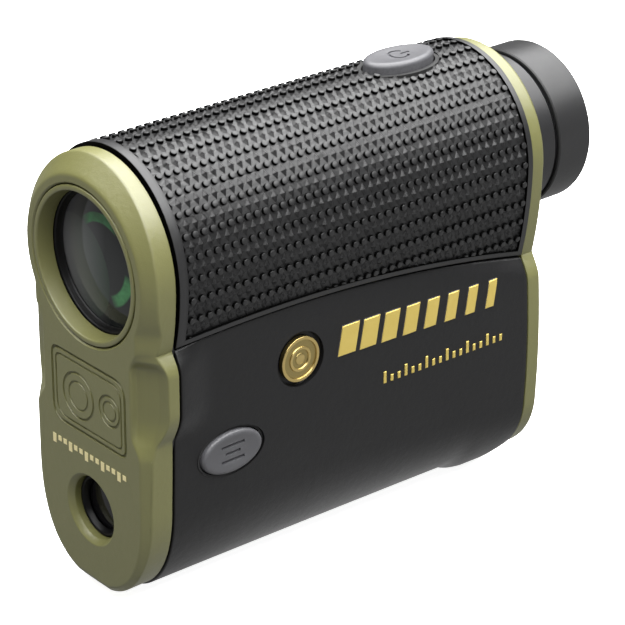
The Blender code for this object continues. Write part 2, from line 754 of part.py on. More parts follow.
def eyepiece_group():
    spigot = NECK_BORE - GAP
    neck = [
        (spigot, NECK_FRONT), (spigot, 0.0808), (0.0115, 0.0808), (0.0115, 0.0822),
        (spigot, 0.0822), (spigot, NECK_COLLAR), (NECK_RADIUS, NECK_COLLAR),
        (NECK_RADIUS, FOCUS_SEAM - GAP), (0.0120, FOCUS_SEAM - GAP), (0.0120, 0.0940),
        (0.0109, 0.0940), (0.0109, NECK_FRONT),
    ]
    finish(turned("eyepiece_neck", neck, place(0, 0, 0), steps=32), BLACK_METAL, 0.5, 0.3)
    finish(o_ring("eyepiece_o_ring", 0.01155, 0.0005, 0.0815, 0.0), BLACK_RUBBER, 0.7)
    finish(tube("focus_ring", 0.0123, 0.0131, FOCUS_SEAM + 0.0002, 0.0950, steps=36), BLACK_METAL, 0.4, 0.7)
    rim = LENGTH
    cup = [
        (EYECUP_RADIUS, rim - 0.0006), (EYECUP_RADIUS - 0.0002, rim - 0.0002), (EYECUP_RADIUS - 0.0006, rim),
        (0.0108, rim), (0.0096, rim - 0.0006), (0.0094, 0.0954), (0.0134, 0.0954),
        (0.0134, FOCUS_SEAM + 0.0002), (EYECUP_RADIUS, FOCUS_SEAM + 0.0002),
    ]
    finish(turned("eyecup", cup, place(0, 0, 0), steps=40), BLACK_RUBBER, 0.6)
    cell = [
        (0.0106, NECK_FRONT), (0.0106, 0.0922), (0.0086, 0.0922), (0.0086, 0.0914), (0.0098, 0.0914),
        (0.0098, NECK_FRONT),
    ]
    finish(turned("ocular_cell", cell, place(0, 0, 0)), BLACK_METAL, 0.5, 0.5)
    eye = lens("eye_lens", EYE_LENS_RADIUS, 0.0878, 0.0900, 0.0006, 0.0010)
    finish(eye, GLASS, 0.02, 0, 0.35)
    field = lens("field_lens", EYE_LENS_RADIUS, 0.0740, 0.0760, 0.0008, 0.0002, steps=32)
    finish(field, GLASS, 0.02, 0, 0.35)


# Electronics


def circuit_boards():
    half = BOARD_THICKNESS / 2
    ell = [
        (0.0080, -0.0180), (0.0080, -0.0420), (0.0110, -0.0455), (0.0440, -0.0455),
        (0.0440, -0.0255), (0.0660, -0.0255), (0.0660, -0.0180),
    ]
    main = flat_outline("main_circuit_board", [ell], BOARD_THICKNESS, SIDE_PLANE, place(BOARD_X + half, 0, 0))
    finish(main, BOARD_GREEN, 0.5)
    chips = [
        ("processor_chip", 0.0350, -0.0280, 0.0035, 0.0010), ("timing_chip", 0.0250, -0.0240, 0.0025, 0.0009),
        ("tilt_sensor", 0.0395, -0.0400, 0.0015, 0.0009),
    ]
    for name, behind, above, half_side, height in chips:
        top = BOARD_X - 0.0002
        low = (top - height, behind - half_side, above - half_side)
        finish(block(name, low, (top, behind + half_side, above + half_side)), CHIP_BLACK, 0.4)
    receiver = block("receiver_board", (-0.0065, 0.0370, -0.0175), (0.0065, 0.0510, -0.0165))
    finish(receiver, BOARD_GREEN, 0.5)
    diode = [
        (0.0, -0.0162), (0.0027, -0.0162), (0.0027, -0.0152), (0.0022, -0.0152), (0.0022, -0.0128),
        (0.0, -0.0128),
    ]
    photodiode = turned("receiver_photodiode", diode, place(0, 0.0440, 0), steps=24, turn=UPRIGHT)
    finish(photodiode, STEEL, 0.3, 1.0)
    switch_board = block("power_switch_board", (-0.0050, 0.0595, 0.0100), (0.0050, 0.0700, 0.0108))
    finish(switch_board, BOARD_GREEN, 0.5)


def flex_cable():
    """A flat film from the main board up beside the prisms to the power switch's board."""
    path = [
        (0.0095, -0.0176), (0.0106, -0.0120), (0.0111, -0.0060), (0.0112, 0.0), (0.0106, 0.0050),
        (0.0092, 0.0084), (0.0072, 0.0103), (0.0053, 0.0106),
    ]
    behinds = (0.0612, 0.0646)
    rows = [[place(x, behind, above) for x, above in path] for behind in behinds]
    return finish(thicken(sheet("flex_cable", rows), 0.0002), AMBER_FILM, 0.4)


def tact_switch(name, foot, turn):
    """A push switch whose foot is at the local origin, with its moving stem along local Z."""
    half, height = 0.0026, 0.0015
    bore, floor = 0.0012, 0.0004
    stem_radius, stem_foot, stem_top = 0.0009, 0.0009, 0.0020
    bm = bmesh.new()
    bmesh.ops.create_cube(bm, size=1.0)
    bmesh.ops.scale(bm, vec=(2 * half, 2 * half, height), verts=bm.verts)
    bmesh.ops.translate(bm, vec=(0, 0, height / 2), verts=bm.verts)
    body = finish(mesh_object(name + "_switch_body", bm, PARTS), CHIP_BLACK, 0.4)
    body.matrix_world = Matrix.Translation(foot) @ turn
    out = (turn @ Vector((0, 0, 1))).to_3d()
    well = rod(name + "_switch_well", bore, foot + out * floor, foot + out * 0.003, turn, CUTTERS, 16)
    boolean(body, well)
    start, end = foot + out * stem_foot, foot + out * stem_top
    finish(rod(name + "_switch_stem", stem_radius, start, end, turn, PARTS, 16), STEEL, 0.4, 0.8)


# Buttons and badge


def power_button():
    middle = place(0, POWER_BEHIND, (POWER_TOP + POWER_FOOT) / 2)
    button = oval(
        "power_button", middle, POWER_HALF_LENGTH, POWER_HALF_WIDTH, POWER_TOP - POWER_FOOT, UPRIGHT
    )
    finish(round_edges(button, 0.0005), GREY_RUBBER, 0.5)
    seal = flat_outline(
        "power_button_seal",
        [ellipse(0.0050, 0.0080), ellipse(POWER_HALF_WIDTH + 0.0003, POWER_HALF_LENGTH + 0.0003)],
        0.0008, UPRIGHT, place(0, POWER_BEHIND, 0.0172),
    )
    finish(seal, BLACK_RUBBER, 0.8)
    tact_switch("power", place(0, POWER_BEHIND, 0.0111), UPRIGHT)


def mode_button():
    middle = place((MODE_FACE + MODE_FOOT) / 2, MODE_BEHIND, MODE_ABOVE)
    button = oval("mode_button", middle, MODE_HALF_LENGTH, MODE_HALF_WIDTH, MODE_FACE - MODE_FOOT, ALONG_X)
    finish(round_edges(button, 0.0005), GREY_RUBBER, 0.5)
    outer = ellipse(MODE_HALF_LENGTH + 0.0008, MODE_HALF_WIDTH + 0.0008)
    inner = ellipse(MODE_HALF_LENGTH + 0.0003, MODE_HALF_WIDTH + 0.0003)
    seal = flat_outline(
        "mode_button_seal", [outer, inner], 0.0005, SIDE_PLANE, place(0.0149, MODE_BEHIND, MODE_ABOVE)
    )
    finish(seal, BLACK_RUBBER, 0.8)
    tact_switch("mode", place(BOARD_X + BOARD_THICKNESS + 0.0002, MODE_BEHIND, MODE_ABOVE), ALONG_X)


def side_badge():
    start = place(BADGE_FLOOR + 0.0002, BADGE_BEHIND, BADGE_ABOVE)
    badge = rod("side_badge", BADGE_RADIUS, start, start + Vector((0.0008, 0, 0)), ALONG_X, PARTS, 32)
    return finish(round_edges(badge, 0.0002), GOLD, 0.3, 1.0)


# Battery


def battery_group():
    above = -BATTERY_BELOW_AXIS
    back = BATTERY_FRONT + BATTERY_LENGTH
    holder = [
        (0.0, 0.0465), (BATTERY_TUBE_RADIUS, 0.0465), (BATTERY_TUBE_RADIUS, 0.0799),
        (BATTERY_TUBE_BORE, 0.0799), (BATTERY_TUBE_BORE, 0.0474), (0.0, 0.0474),
    ]
    finish(turned("battery_tube", holder, place(0, 0, above)), BLACK_PLASTIC, 0.5)
    cell = [
        (0.0, BATTERY_FRONT), (BATTERY_RADIUS - 0.0004, BATTERY_FRONT),
        (BATTERY_RADIUS, BATTERY_FRONT + 0.0004),
        (BATTERY_RADIUS, back - 0.0014), (BATTERY_RADIUS - 0.0006, back - 0.0008), (0.0032, back - 0.0008),
        (0.0030, back), (0.0, back),
    ]
    finish(turned("battery", cell, place(0, 0, above), steps=32), CELL_BLUE, 0.35, 0.3)
    battery_spring(above)
    cap_front, flange, outer = 0.0775, 0.0804, 0.0846
    slot = 0.0010
    cap = [
        (0.0, cap_front), (0.0076, cap_front), (0.0076, 0.0784), (0.0066, 0.0784), (0.0066, 0.0796),
        (0.0076, 0.0796), (0.0076, flange), (CAP_RADIUS, flange), (CAP_RADIUS, outer - 0.0006),
        (CAP_RADIUS - 0.0006, outer), (0.0, outer),
    ]
    body = turned("battery_cap", cap, place(0, 0, above), steps=36)
    groove = block(
        "coin_slot", (-0.0065, outer - 0.0016, above - slot), (0.0065, outer + 0.001, above + slot), CUTTERS
    )
    finish(boolean(body, groove), BLACK_PLASTIC, 0.45)
    finish(o_ring("battery_cap_o_ring", 0.0066, 0.0004, 0.0790, above), BLACK_RUBBER, 0.7)


def battery_spring(above):
    """A conical contact spring between the tube's closed end and the cell."""
    turns, per_turn = 2.5, 12
    start, end = 0.0480, 0.0496
    wide, narrow, wire = 0.0058, 0.0030, 0.00030
    count = int(turns * per_turn)
    curve = bpy.data.curves.new("battery_spring", "CURVE")
    curve.dimensions = "3D"
    curve.bevel_depth = wire
    curve.bevel_resolution = 0
    curve.use_fill_caps = True
    spline = curve.splines.new("POLY")
    spline.points.add(count)
    for i, point in enumerate(spline.points):
        share = i / count
        angle = 2 * math.pi * turns * share
        radius = mix(wide, narrow, share)
        co = place(radius * math.cos(angle), mix(start, end, share), above + radius * math.sin(angle))
        point.co = (*co, 1.0)
    return finish(add_object("battery_spring", curve, PARTS), STEEL, 0.3, 1.0)


clear_scene()
PARTS = collection("laser_rangefinder")
CUTTERS = collection("cutters")
main_housing()
grip_armor()
front_cover()
rear_cover()
gaskets()
rear_cover_screws()
lanyard_loop()
objective_group()
prism_cage()
viewing_display()
laser_group()
eyepiece_group()
circuit_boards()
flex_cable()
power_button()
mode_button()
side_badge()
battery_group()
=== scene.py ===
"""The looks of a hand-held laser rangefinder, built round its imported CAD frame.

Metres, +Z up, front face towards -Y. Most places are (x, distance behind the front face, height above the
optical axis). Fine surfaces stand in for the CAD shells that show; the inner parts keep their CAD shapes.
"""

import math

import bmesh
import bpy
from mathutils import Matrix, Vector


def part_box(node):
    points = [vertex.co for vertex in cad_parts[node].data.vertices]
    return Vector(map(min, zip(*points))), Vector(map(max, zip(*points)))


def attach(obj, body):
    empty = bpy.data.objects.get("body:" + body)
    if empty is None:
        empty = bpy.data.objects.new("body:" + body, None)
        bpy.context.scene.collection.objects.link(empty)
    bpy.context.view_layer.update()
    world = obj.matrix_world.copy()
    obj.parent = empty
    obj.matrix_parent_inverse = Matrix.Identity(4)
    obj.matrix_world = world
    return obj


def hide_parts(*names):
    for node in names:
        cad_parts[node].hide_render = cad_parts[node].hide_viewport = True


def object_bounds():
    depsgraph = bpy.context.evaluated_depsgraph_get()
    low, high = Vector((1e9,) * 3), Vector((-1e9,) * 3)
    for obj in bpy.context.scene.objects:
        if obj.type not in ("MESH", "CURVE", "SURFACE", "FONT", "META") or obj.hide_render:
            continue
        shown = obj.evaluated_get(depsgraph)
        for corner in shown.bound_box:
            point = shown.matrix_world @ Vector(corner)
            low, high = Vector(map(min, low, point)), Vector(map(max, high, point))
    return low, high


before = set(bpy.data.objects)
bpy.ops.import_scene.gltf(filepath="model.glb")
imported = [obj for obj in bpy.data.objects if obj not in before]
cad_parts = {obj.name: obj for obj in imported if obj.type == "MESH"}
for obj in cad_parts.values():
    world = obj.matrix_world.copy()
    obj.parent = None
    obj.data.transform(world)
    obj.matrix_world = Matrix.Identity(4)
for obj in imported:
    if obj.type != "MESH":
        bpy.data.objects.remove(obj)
CAD_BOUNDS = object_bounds()


def centre(node):
    low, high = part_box(node)
    return (low + high) / 2


def half_size(node):
    low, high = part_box(node)
    return (high - low) / 2


def span(node):
    """A node's front and back, both behind the front face, and half its width."""
    low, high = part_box(node)
    return low.y - FRONT_Y, high.y - FRONT_Y, half_size(node).x


# Driving places, taken from the frame.
FRONT_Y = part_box("front_cover")[0].y
OPTICAL_Z = centre("eyecup").z
FRONT_COVER_BACK = span("front_cover")[1]
HOUSING_FRONT, HOUSING_BACK, _ = span("main_housing")
REAR_COVER_FRONT = HOUSING_BACK + 0.0002
REAR_COVER_BACK = span("rear_cover")[1]
HEEL_DROP = 0.0016
BASE = OPTICAL_Z - HEEL_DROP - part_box("main_housing")[0].z
LASER = OPTICAL_Z - centre("laser_window").z
BATTERY = OPTICAL_Z - centre("battery_cap").z

# Barrel sections: rise, half-width at the front and at the rear, drop at the front and at the rear.
BARREL = (0.0176, 0.0164, 0.0168, 0.0278, 0.0385)
ARMOUR_SKIN = (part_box("grip_armor")[1].z - OPTICAL_Z, 0.0168, 0.0172, 0.0255, 0.0367)

# Body below the barrel, at the front and at the rear.
WAIST_FRONT, WAIST_REAR = 0.0152, 0.0153
# Half-width of the bowed flanks, how far they bow, and the middle and reach of the bow.
FLANK_FRONT, FLANK_REAR = (0.0150, 0.0005, -0.020, 0.020), (0.0180, 0.0008, -0.036, 0.016)
SHOULDER = 0.0042
BELLY_FRONT, BELLY_REAR = -0.037, -0.042
HULL_POWER = 2.2
BASE_FLAT = 0.0004
HULL_DROP = BASE + BASE_FLAT
COVER_DROP = 0.0564
BULGE, BULGE_LENGTH = 0.0019, 0.008
BULGE_TOP, BULGE_FOOT = -0.0102, -0.0256
BULGE_RISE, BULGE_FALL = 0.0038, 0.0056
WALL = 0.0015
ARMOUR = 0.0016
GAP = 0.0003

# Front cover.
FACE_RADIUS = 0.0144
FACE_COLLAR, FACE_NECK, FACE_FOOT = 0.0127, 0.0113, 0.0132
FACE_BASE = 0.0552
FOOT_TOP, FOOT_RUN, NECK_RUN = -0.0244, 0.0040, 0.0034
PRINT_DEPTH = 0.00005
# Depth of the scoops at shares of the way along the chamfer.
SCOOP_HOLLOW = ((0.22, 0.00115), (0.50, 0.00120), (0.80, 0.00095))
OBJECTIVE_BORE = 0.0130
LASER_MOUTH, LASER_BORE, LASER_CONE = 0.00624, 0.0054, 0.0010

# Grip pattern: rows of round studs, with rows of pointed ones between them.
STUD_PITCH = 0.0017
ROW_PITCH = 0.0034
FIRST_STUD, FIRST_ROW = 0.0014, -0.0008
FIELD_DEPTH = 0.00045
FRONT_BAND, REAR_BAND, EDGE_BAND = 0.0016, 0.0011, 0.0010
# Radius and height above the field up a round stud.
STUD = ((0.00060, -0.00012), (0.00058, 0.0), (0.00055, 0.00042), (0.00050, 0.00049), (0.00040, 0.00052))
POINT_AROUND, POINT_ALONG, POINT_HEIGHT = 0.00115, 0.00060, 0.00050

# The axis that each button travels along, its middle, and the levels of the power button's well.
TRAVEL = {"power_button": 2, "mode_button": 0}
MIDDLE = {node: centre(node) for node in TRAVEL}
WELL = OPTICAL_Z + 0.0110, OPTICAL_Z + 0.0200

ALONG_Y = Matrix.Rotation(-math.pi / 2, 4, "X")
ALONG_X = Matrix.Rotation(math.pi / 2, 4, "Y")


def place(x, behind, above):
    return Vector((x, FRONT_Y + behind, OPTICAL_Z + above))


def ease(share):
    share = min(max(share, 0.0), 1.0)
    return share * share * (3 - 2 * share)


def swell(share):
    """Rises like the side of an ellipse: steep at 0, level at 1."""
    return math.sin(math.pi / 2 * min(max(share, 0.0), 1.0))


def mix(first, last, share):
    return first + (last - first) * share


def spread(first, last, count):
    return [mix(first, last, i / count) for i in range(count + 1)]


# Mesh tools


def ellipse(half_u, half_v, count=72):
    turn = [2 * math.pi * i / count for i in range(count)]
    return [(half_u * math.cos(a), half_v * math.sin(a)) for a in turn]


def add_mesh(name, bm, sharp=35):
    bmesh.ops.recalc_face_normals(bm, faces=bm.faces)
    mesh = bpy.data.meshes.new(name)
    bm.to_mesh(mesh)
    bm.free()
    mesh.shade_smooth()
    mesh.set_sharp_from_angle(angle=math.radians(sharp))
    obj = bpy.data.objects.new(name, mesh)
    bpy.context.scene.collection.objects.link(obj)
    return obj


def add_loft(bm, rings, looped=False):
    """Quads through rings of points; capped at both ends, or looped back to the first ring."""
    rows = [[bm.verts.new(point) for point in ring] for ring in rings]
    count = len(rows[0])
    pairs = list(zip(rows, rows[1:]))
    if looped:
        pairs.append((rows[-1], rows[0]))
    for near, far in pairs:
        for i in range(count):
            j = (i + 1) % count
            bm.faces.new((near[i], near[j], far[j], far[i]))
    if not looped:
        bm.faces.new(rows[0][::-1])
        bm.faces.new(rows[-1])


def loft(name, rings, sharp=35):
    bm = bmesh.new()
    add_loft(bm, rings)
    return add_mesh(name, bm, sharp)


def turned(name, profile, origin, steps=96, turn=ALONG_Y, sharp=35):
    """Turns (radius, along) points about an axis: a solid if they start on the axis, else a closed ring."""
    bm = bmesh.new()
    rows = []
    matrix = Matrix.Translation(origin) @ turn
    for radius, along in profile:
        outline = ellipse(radius, radius, steps) if radius else [(0, 0)]
        rows.append([bm.verts.new(matrix @ Vector((u, v, along))) for u, v in outline])
    pairs = list(zip(rows, rows[1:]))
    if profile[0][0] > 0:
        pairs.append((rows[-1], rows[0]))
    for near, far in pairs:
        for i in range(steps):
            j = (i + 1) % steps
            corners = [near[i % len(near)], near[j % len(near)], far[j % len(far)], far[i % len(far)]]
            bm.faces.new(list(dict.fromkeys(corners)))
    return add_mesh(name, bm, sharp)


def fillet(points, cuts, steps=4, closed=False):
    """Rounds each corner of a path, starting its cut before the corner. The path is of tuples or Vectors."""
    points = [Vector(point) for point in points]
    rounded = []
    for i, corner in enumerate(points):
        cut = cuts[i] if isinstance(cuts, (list, tuple)) else cuts
        if cut == 0 or (not closed and i in (0, len(points) - 1)):
            rounded.append(corner)
            continue
        start = corner + (points[i - 1] - corner).normalized() * cut
        end = corner + (points[(i + 1) % len(points)] - corner).normalized() * cut
        for k in range(steps + 1):
            share = k / steps
            rounded.append(start * (1 - share) ** 2 + corner * 2 * share * (1 - share) + end * share**2)
    return rounded


def wire(name, points, radius, closed=True, sides=8):
    """A round wire through points, as a closed mesh."""
    curve = bpy.data.curves.new(name, "CURVE")
    curve.dimensions = "3D"
    curve.bevel_depth = radius
    curve.bevel_resolution = sides // 2 - 2
    curve.use_fill_caps = not closed
    spline = curve.splines.new("POLY")
    spline.points.add(len(points) - 1)
    for point, co in zip(spline.points, points):
        point.co = (*co, 1.0)
    spline.use_cyclic_u = closed
    obj = bpy.data.objects.new(name, curve)
    bpy.context.scene.collection.objects.link(obj)
    mesh = bpy.data.meshes.new_from_object(obj.evaluated_get(bpy.context.evaluated_depsgraph_get()))
    bpy.data.objects.remove(obj)
    bm = bmesh.new()
    bm.from_mesh(mesh)
    bmesh.ops.remove_doubles(bm, verts=bm.verts, dist=1e-7)
    return add_mesh(name, bm)


def combine(target, tools, operation="DIFFERENCE", sharp=35, keep_paint=False):
    """Applies a Boolean for each tool and removes the tools. Cuts may take on the tools' own materials."""
    for tool in tools:
        modifier = target.modifiers.new("combine", "BOOLEAN")
        modifier.operation = operation
        modifier.solver = "MANIFOLD"
        modifier.object = tool
        if keep_paint:
            modifier.material_mode = "TRANSFER"
    evaluated = target.evaluated_get(bpy.context.evaluated_depsgraph_get())
    mesh = bpy.data.meshes.new_from_object(evaluated)
    target.modifiers.clear()
    target.data = mesh
    for tool in tools:
        bpy.data.objects.remove(tool)
    mesh.shade_smooth()
    mesh.set_sharp_from_angle(angle=math.radians(sharp))


def even_normals(obj):
    modifier = obj.modifiers.new("even_normals", "WEIGHTED_NORMAL")
    modifier.keep_sharp = True
    return obj


def settle(obj, material, *nodes, body="housing"):
    """Finishes a piece: its material and slot, the body it rides on and the CAD nodes it stands for."""
    if obj.data.materials:
        obj.data.materials[0] = material
    else:
        obj.data.materials.append(material)
    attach(obj, body)
    if nodes:
        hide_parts(*nodes)


# Materials


class Finish:
    """A Principled material and short ways to add procedural nodes to it."""

    def __init__(self, name, metallic=0.0):
        self.material = bpy.data.materials.new(name)
        self.material.use_nodes = True
        self.nodes = self.material.node_tree.nodes
        self.links = self.material.node_tree.links
        self.shader = self.nodes["Principled BSDF"]
        self.coordinates = self.nodes.new("ShaderNodeTexCoord").outputs["Object"]
        self.geometry = self.nodes.new("ShaderNodeNewGeometry").outputs
        self.normal = None
        self.set("Metallic", metallic)

    def put(self, value, socket):
        """Sets a socket to a number or colour, or links another node's output to it."""
        if isinstance(value, bpy.types.NodeSocket):
            self.links.new(value, socket)
        elif isinstance(value, tuple) and len(value) == 3 and socket.type == "RGBA":
            socket.default_value = (*value, 1.0)
        else:
            socket.default_value = value

    def texture(self, kind, size, stretch=(1, 1, 1)):
        """A texture node whose features are of about that size in metres."""
        mapping = self.nodes.new("ShaderNodeMapping")
        mapping.inputs["Scale"].default_value = [1 / (size * s) for s in stretch]
        self.put(self.coordinates, mapping.inputs["Vector"])
        node = self.nodes.new(kind)
        node.inputs["Scale"].default_value = 1.0
        self.put(mapping.outputs["Vector"], node.inputs["Vector"])
        return node

    def noise(self, size, detail=2.0, rough=0.5, stretch=(1, 1, 1)):
        node = self.texture("ShaderNodeTexNoise", size, stretch)
        node.inputs["Detail"].default_value = detail
        node.inputs["Roughness"].default_value = rough
        return node.outputs["Fac"]

    def remap(self, value, low, high, out_low=0.0, out_high=1.0):
        node = self.nodes.new("ShaderNodeMapRange")
        for i, number in enumerate((low, high, out_low, out_high), 1):
            node.inputs[i].default_value = number
        self.put(value, node.inputs["Value"])
        return node.outputs["Result"]

    def calculate(self, kind, operation, values):
        node = self.nodes.new(kind)
        node.operation = operation
        for value, socket in zip(values, node.inputs):
            self.put(value, socket)
        return node.outputs

    def math(self, operation, *values):
        return self.calculate("ShaderNodeMath", operation, values)[0]

    def times(self, *values):
        return self.math("MULTIPLY", *values)

    def length(self, x, y):
        return self.math("SQRT", self.math("ADD", self.times(x, x), self.times(y, y)))

    def vector(self, operation, *values):
        return self.calculate("ShaderNodeVectorMath", operation, values)

    def blend(self, share, first, second):
        node = self.nodes.new("ShaderNodeMix")
        node.data_type = "RGBA"
        for value, socket in ((share, 0), (first, 6), (second, 7)):
            self.put(value, node.inputs[socket])
        return node.outputs[2]

    def mottle(self, size, colour, other, detail=3.0):
        """A colour that drifts between two."""
        return self.blend(self.noise(size, detail), colour, other)

    def pointiness(self, low, high, out_low=0.0, out_high=1.0):
        """About 0.5 on flats, more on edges and less in corners, remapped."""
        return self.remap(self.geometry["Pointiness"], low, high, out_low, out_high)

    def place_of(self, axis):
        split = self.nodes.new("ShaderNodeSeparateXYZ")
        self.put(self.coordinates, split.inputs[0])
        return split.outputs[axis]

    def set(self, name, value):
        self.put(value, self.shader.inputs[name])
        return self

    def tint(self, colour):
        return self.set("Base Color", colour)

    def uneven(self, size, low, high, detail=2.0, rough=0.5, share=(0.3, 0.7)):
        """Roughness that drifts between two values."""
        return self.set("Roughness", self.remap(self.noise(size, detail, rough), *share, low, high))

    def bump(self, height, distance):
        node = self.nodes.new("ShaderNodeBump")
        node.inputs["Distance"].default_value = distance
        node.inputs["Strength"].default_value = 1.0
        self.put(height, node.inputs["Height"])
        if self.normal is not None:
            self.put(self.normal, node.inputs["Normal"])
        self.normal = node.outputs["Normal"]
        self.put(self.normal, self.shader.inputs["Normal"])
        return self


def moulded(name, colour, other, roughness, grain, depth, shine=0.5, drift=0.006, wear=None):
    """A moulded, painted or bead-blasted surface with a fine even grain, and lighter edges if it is worn."""
    finish = Finish(name)
    tone = finish.blend(finish.remap(finish.noise(drift), 0.2, 0.8), colour, other)
    if wear:
        scuffs = finish.remap(finish.noise(drift / 8, 4.0), 0.35, 0.6)
        tone = finish.blend(finish.times(finish.pointiness(0.505, 0.56), scuffs), tone, wear)
    finish.tint(tone).set("Specular IOR Level", shine)
    finish.uneven(drift / 3, roughness - 0.02, roughness + 0.03, 3.0, share=(0.2, 0.8))
    finish.bump(finish.noise(grain * 8), depth * 1.5)
    return finish.bump(finish.noise(grain, 2.0, 0.6), depth)


def grip_rubber():
    """The armour's rubber, with painted shade: darker and less shiny round the studs, on their sides and on
    their tops.
    """
    # The first colour is the painted shade, the second the rubber's own tone where it lies open to the light.
    painted_shade, clear = (0.0015, 0.0015, 0.0015), (0.0115, 0.0115, 0.0119)
    finish = moulded("grip_rubber", painted_shade, clear, 0.42, 0.00012, 0.000010, drift=0.008)
    # Painted shade on the studs' sides: faces that turn away from the barrel's outward direction.
    from_axis = finish.nodes.new("ShaderNodeCombineXYZ")
    finish.put(finish.place_of("X"), from_axis.inputs["X"])
    finish.put(finish.math("SUBTRACT", finish.place_of("Z"), OPTICAL_Z), from_axis.inputs["Z"])
    outwards = finish.vector("NORMALIZE", from_axis.outputs["Vector"])["Vector"]
    facing = finish.vector("DOT_PRODUCT", outwards, finish.geometry["True Normal"])["Value"]
    # Painted shade in the corners round the studs, joined with that on their sides.
    share = finish.times(finish.pointiness(0.40, 0.50), finish.remap(facing, 0.25, 0.55))
    # Painted shade on the studs' tops and ridges as well.
    share = finish.times(share, finish.pointiness(0.52, 0.60, 1.0, 0.5))
    finish.tint(finish.blend(share, painted_shade, clear))
    return finish.set("Specular IOR Level", finish.remap(share, 0.0, 1.0, 0.02, 0.60)).material


def grey_rubber():
    tone = 0.070
    colour, other, worn = [(share * tone, share * tone, 1.07 * share * tone) for share in (1.0, 1.08, 1.5)]
    return moulded("grey_rubber", colour, other, 0.40, 0.00009, 0.000006, drift=0.003, wear=worn).material


def black_metal(name, tone, shine):
    """Black anodised metal with faint turning marks round the optical axis."""
    colour, other = [(share * tone, share * tone, (share + 0.05) * tone) for share in (1.0, 1.15)]
    finish = moulded(name, colour, other, 0.36, 0.00010, 0.000005, shine, 0.005)
    return finish.bump(finish.noise(0.00006, stretch=(400, 1, 400)), 0.000003).material


def brushed(name, patch, colour, other, grain, length, smooth):
    """Metal brushed along the object."""
    finish = Finish(name, 1.0)
    scratches = finish.noise(grain, 3.0, 0.6, (1, length, 1))
    finish.tint(finish.mottle(patch, colour, other))
    finish.set("Roughness", finish.remap(scratches, 0.3, 0.7, smooth, 0.42))
    return finish.bump(scratches, 0.000003)


def gold_metal():
    """Gold foil, darker in the badge's recesses."""
    foil, other, recess = (0.62, 0.47, 0.17), (0.74, 0.57, 0.24), (0.42, 0.33, 0.13)
    finish = brushed("gold_metal", 0.003, foil, other, 0.00004, 30, 0.26)
    low = finish.math("LESS_THAN", finish.place_of("X"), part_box("side_badge")[1].x - 0.00015)
    return finish.tint(finish.blend(low, finish.mottle(0.003, foil, other), recess)).material


def gold_print(name, colour, other):
    """Matt gold ink."""
    finish = Finish(name, 0.5)
    finish.tint(finish.mottle(0.002, colour, other)).uneven(0.0004, 0.38, 0.52, 3.0)
    return finish.bump(finish.noise(0.00008), 0.000004).material


def optical_glass():
    finish = Finish("optical_glass").set("Transmission Weight", 1.0).set("IOR", 1.52)
    finish.tint(finish.mottle(0.004, (0.86, 0.95, 0.90), (0.8342, 0.9215, 0.873), 2.0))
    return finish.uneven(0.003, 0.015, 0.035).bump(finish.noise(0.002), 0.0000004).material


def lens_with_painted_reflections():
    """The objective's glass: dark, with painted reflections: the pale disc and the green crescents that its
    coatings would show.
    """
    finish = Finish("glass_with_painted_reflections")
    above_axis = finish.math("SUBTRACT", finish.place_of("Z"), OPTICAL_Z)
    x, above = [finish.times(value, 1000.0) for value in (finish.place_of("X"), above_axis)]

    def away_from(u, v):
        """Distance in millimetres."""
        return finish.length(finish.math("SUBTRACT", x, u), finish.math("SUBTRACT", above, v))

    def crescent(radius, thickness, angle, reach):
        """1 along the middle of an arc about the axis, fading to 0 at its edges and its ends."""
        off = finish.math("ABSOLUTE", finish.math("SUBTRACT", away_from(0.0, 0.0), radius))
        turn = finish.math("SUBTRACT", finish.math("ARCTAN2", above, x), math.radians(angle))
        full, last = math.radians(0.6 * reach), math.radians(reach)
        ends = finish.remap(finish.math("ABSOLUTE", turn), full, last, 1.0, 0.0)
        return finish.times(finish.remap(off, 0.7 * thickness, thickness, 1.0, 0.0), ends)

    # Painted reflections: a grey surround that fades from light on the left to dark on the right, and an
    # off-centre pale disc that fades the same way.
    surround = finish.blend(finish.remap(x, -8.0, 1.0), (0.120, 0.120, 0.125), (0.020, 0.022, 0.022))
    pale = finish.blend(finish.remap(x, -11.0, 1.5), (0.165, 0.165, 0.170), (0.024, 0.038, 0.028))
    colour = finish.blend(finish.remap(away_from(-6.8, -3.4), 8.7, 8.5), surround, pale)
    # Painted reflections of the coatings: two green crescents about the axis, faded by a faint noise.
    painted_green_reflections = finish.math("MAXIMUM", crescent(6.8, 0.85, 95, 40), crescent(6.6, 1.1, -38, 34))
    haze = finish.remap(finish.noise(0.0012, 3.0), 0.3, 0.7, 0.55, 0.95)
    green = 0.075, 0.275, 0.105
    finish.tint(finish.blend(finish.times(painted_green_reflections, haze), colour, green))
    finish.uneven(0.0007, 0.02, 0.07, 5.0, 0.7, (0.62, 0.75))
    return finish.set("Specular IOR Level", 0.25).bump(finish.noise(0.002), 0.0000004).material


def window_glass():
    """The laser window's near-black infrared glass."""
    finish = Finish("window_glass").set("Specular IOR Level", 0.25)
    finish.tint(finish.mottle(0.002, (0.006, 0.006, 0.007), (0.010, 0.009, 0.010)))
    finish.uneven(0.0006, 0.05, 0.12, 5.0, 0.7, (0.6, 0.75))
    return finish.bump(finish.noise(0.001), 0.0000005).material


def circuit_board():
    """Solder mask over a pattern of plain traces."""
    finish = Finish("board")
    cells = finish.texture("ShaderNodeTexVoronoi", 0.0008, (1, 1, 3)).outputs["Distance"]
    lines = finish.remap(cells, 0.35, 0.45)
    finish.tint(finish.blend(lines, (0.012, 0.10, 0.045), (0.02, 0.19, 0.08)))
    return finish.uneven(0.0005, 0.3, 0.45).bump(lines, 0.00002).material


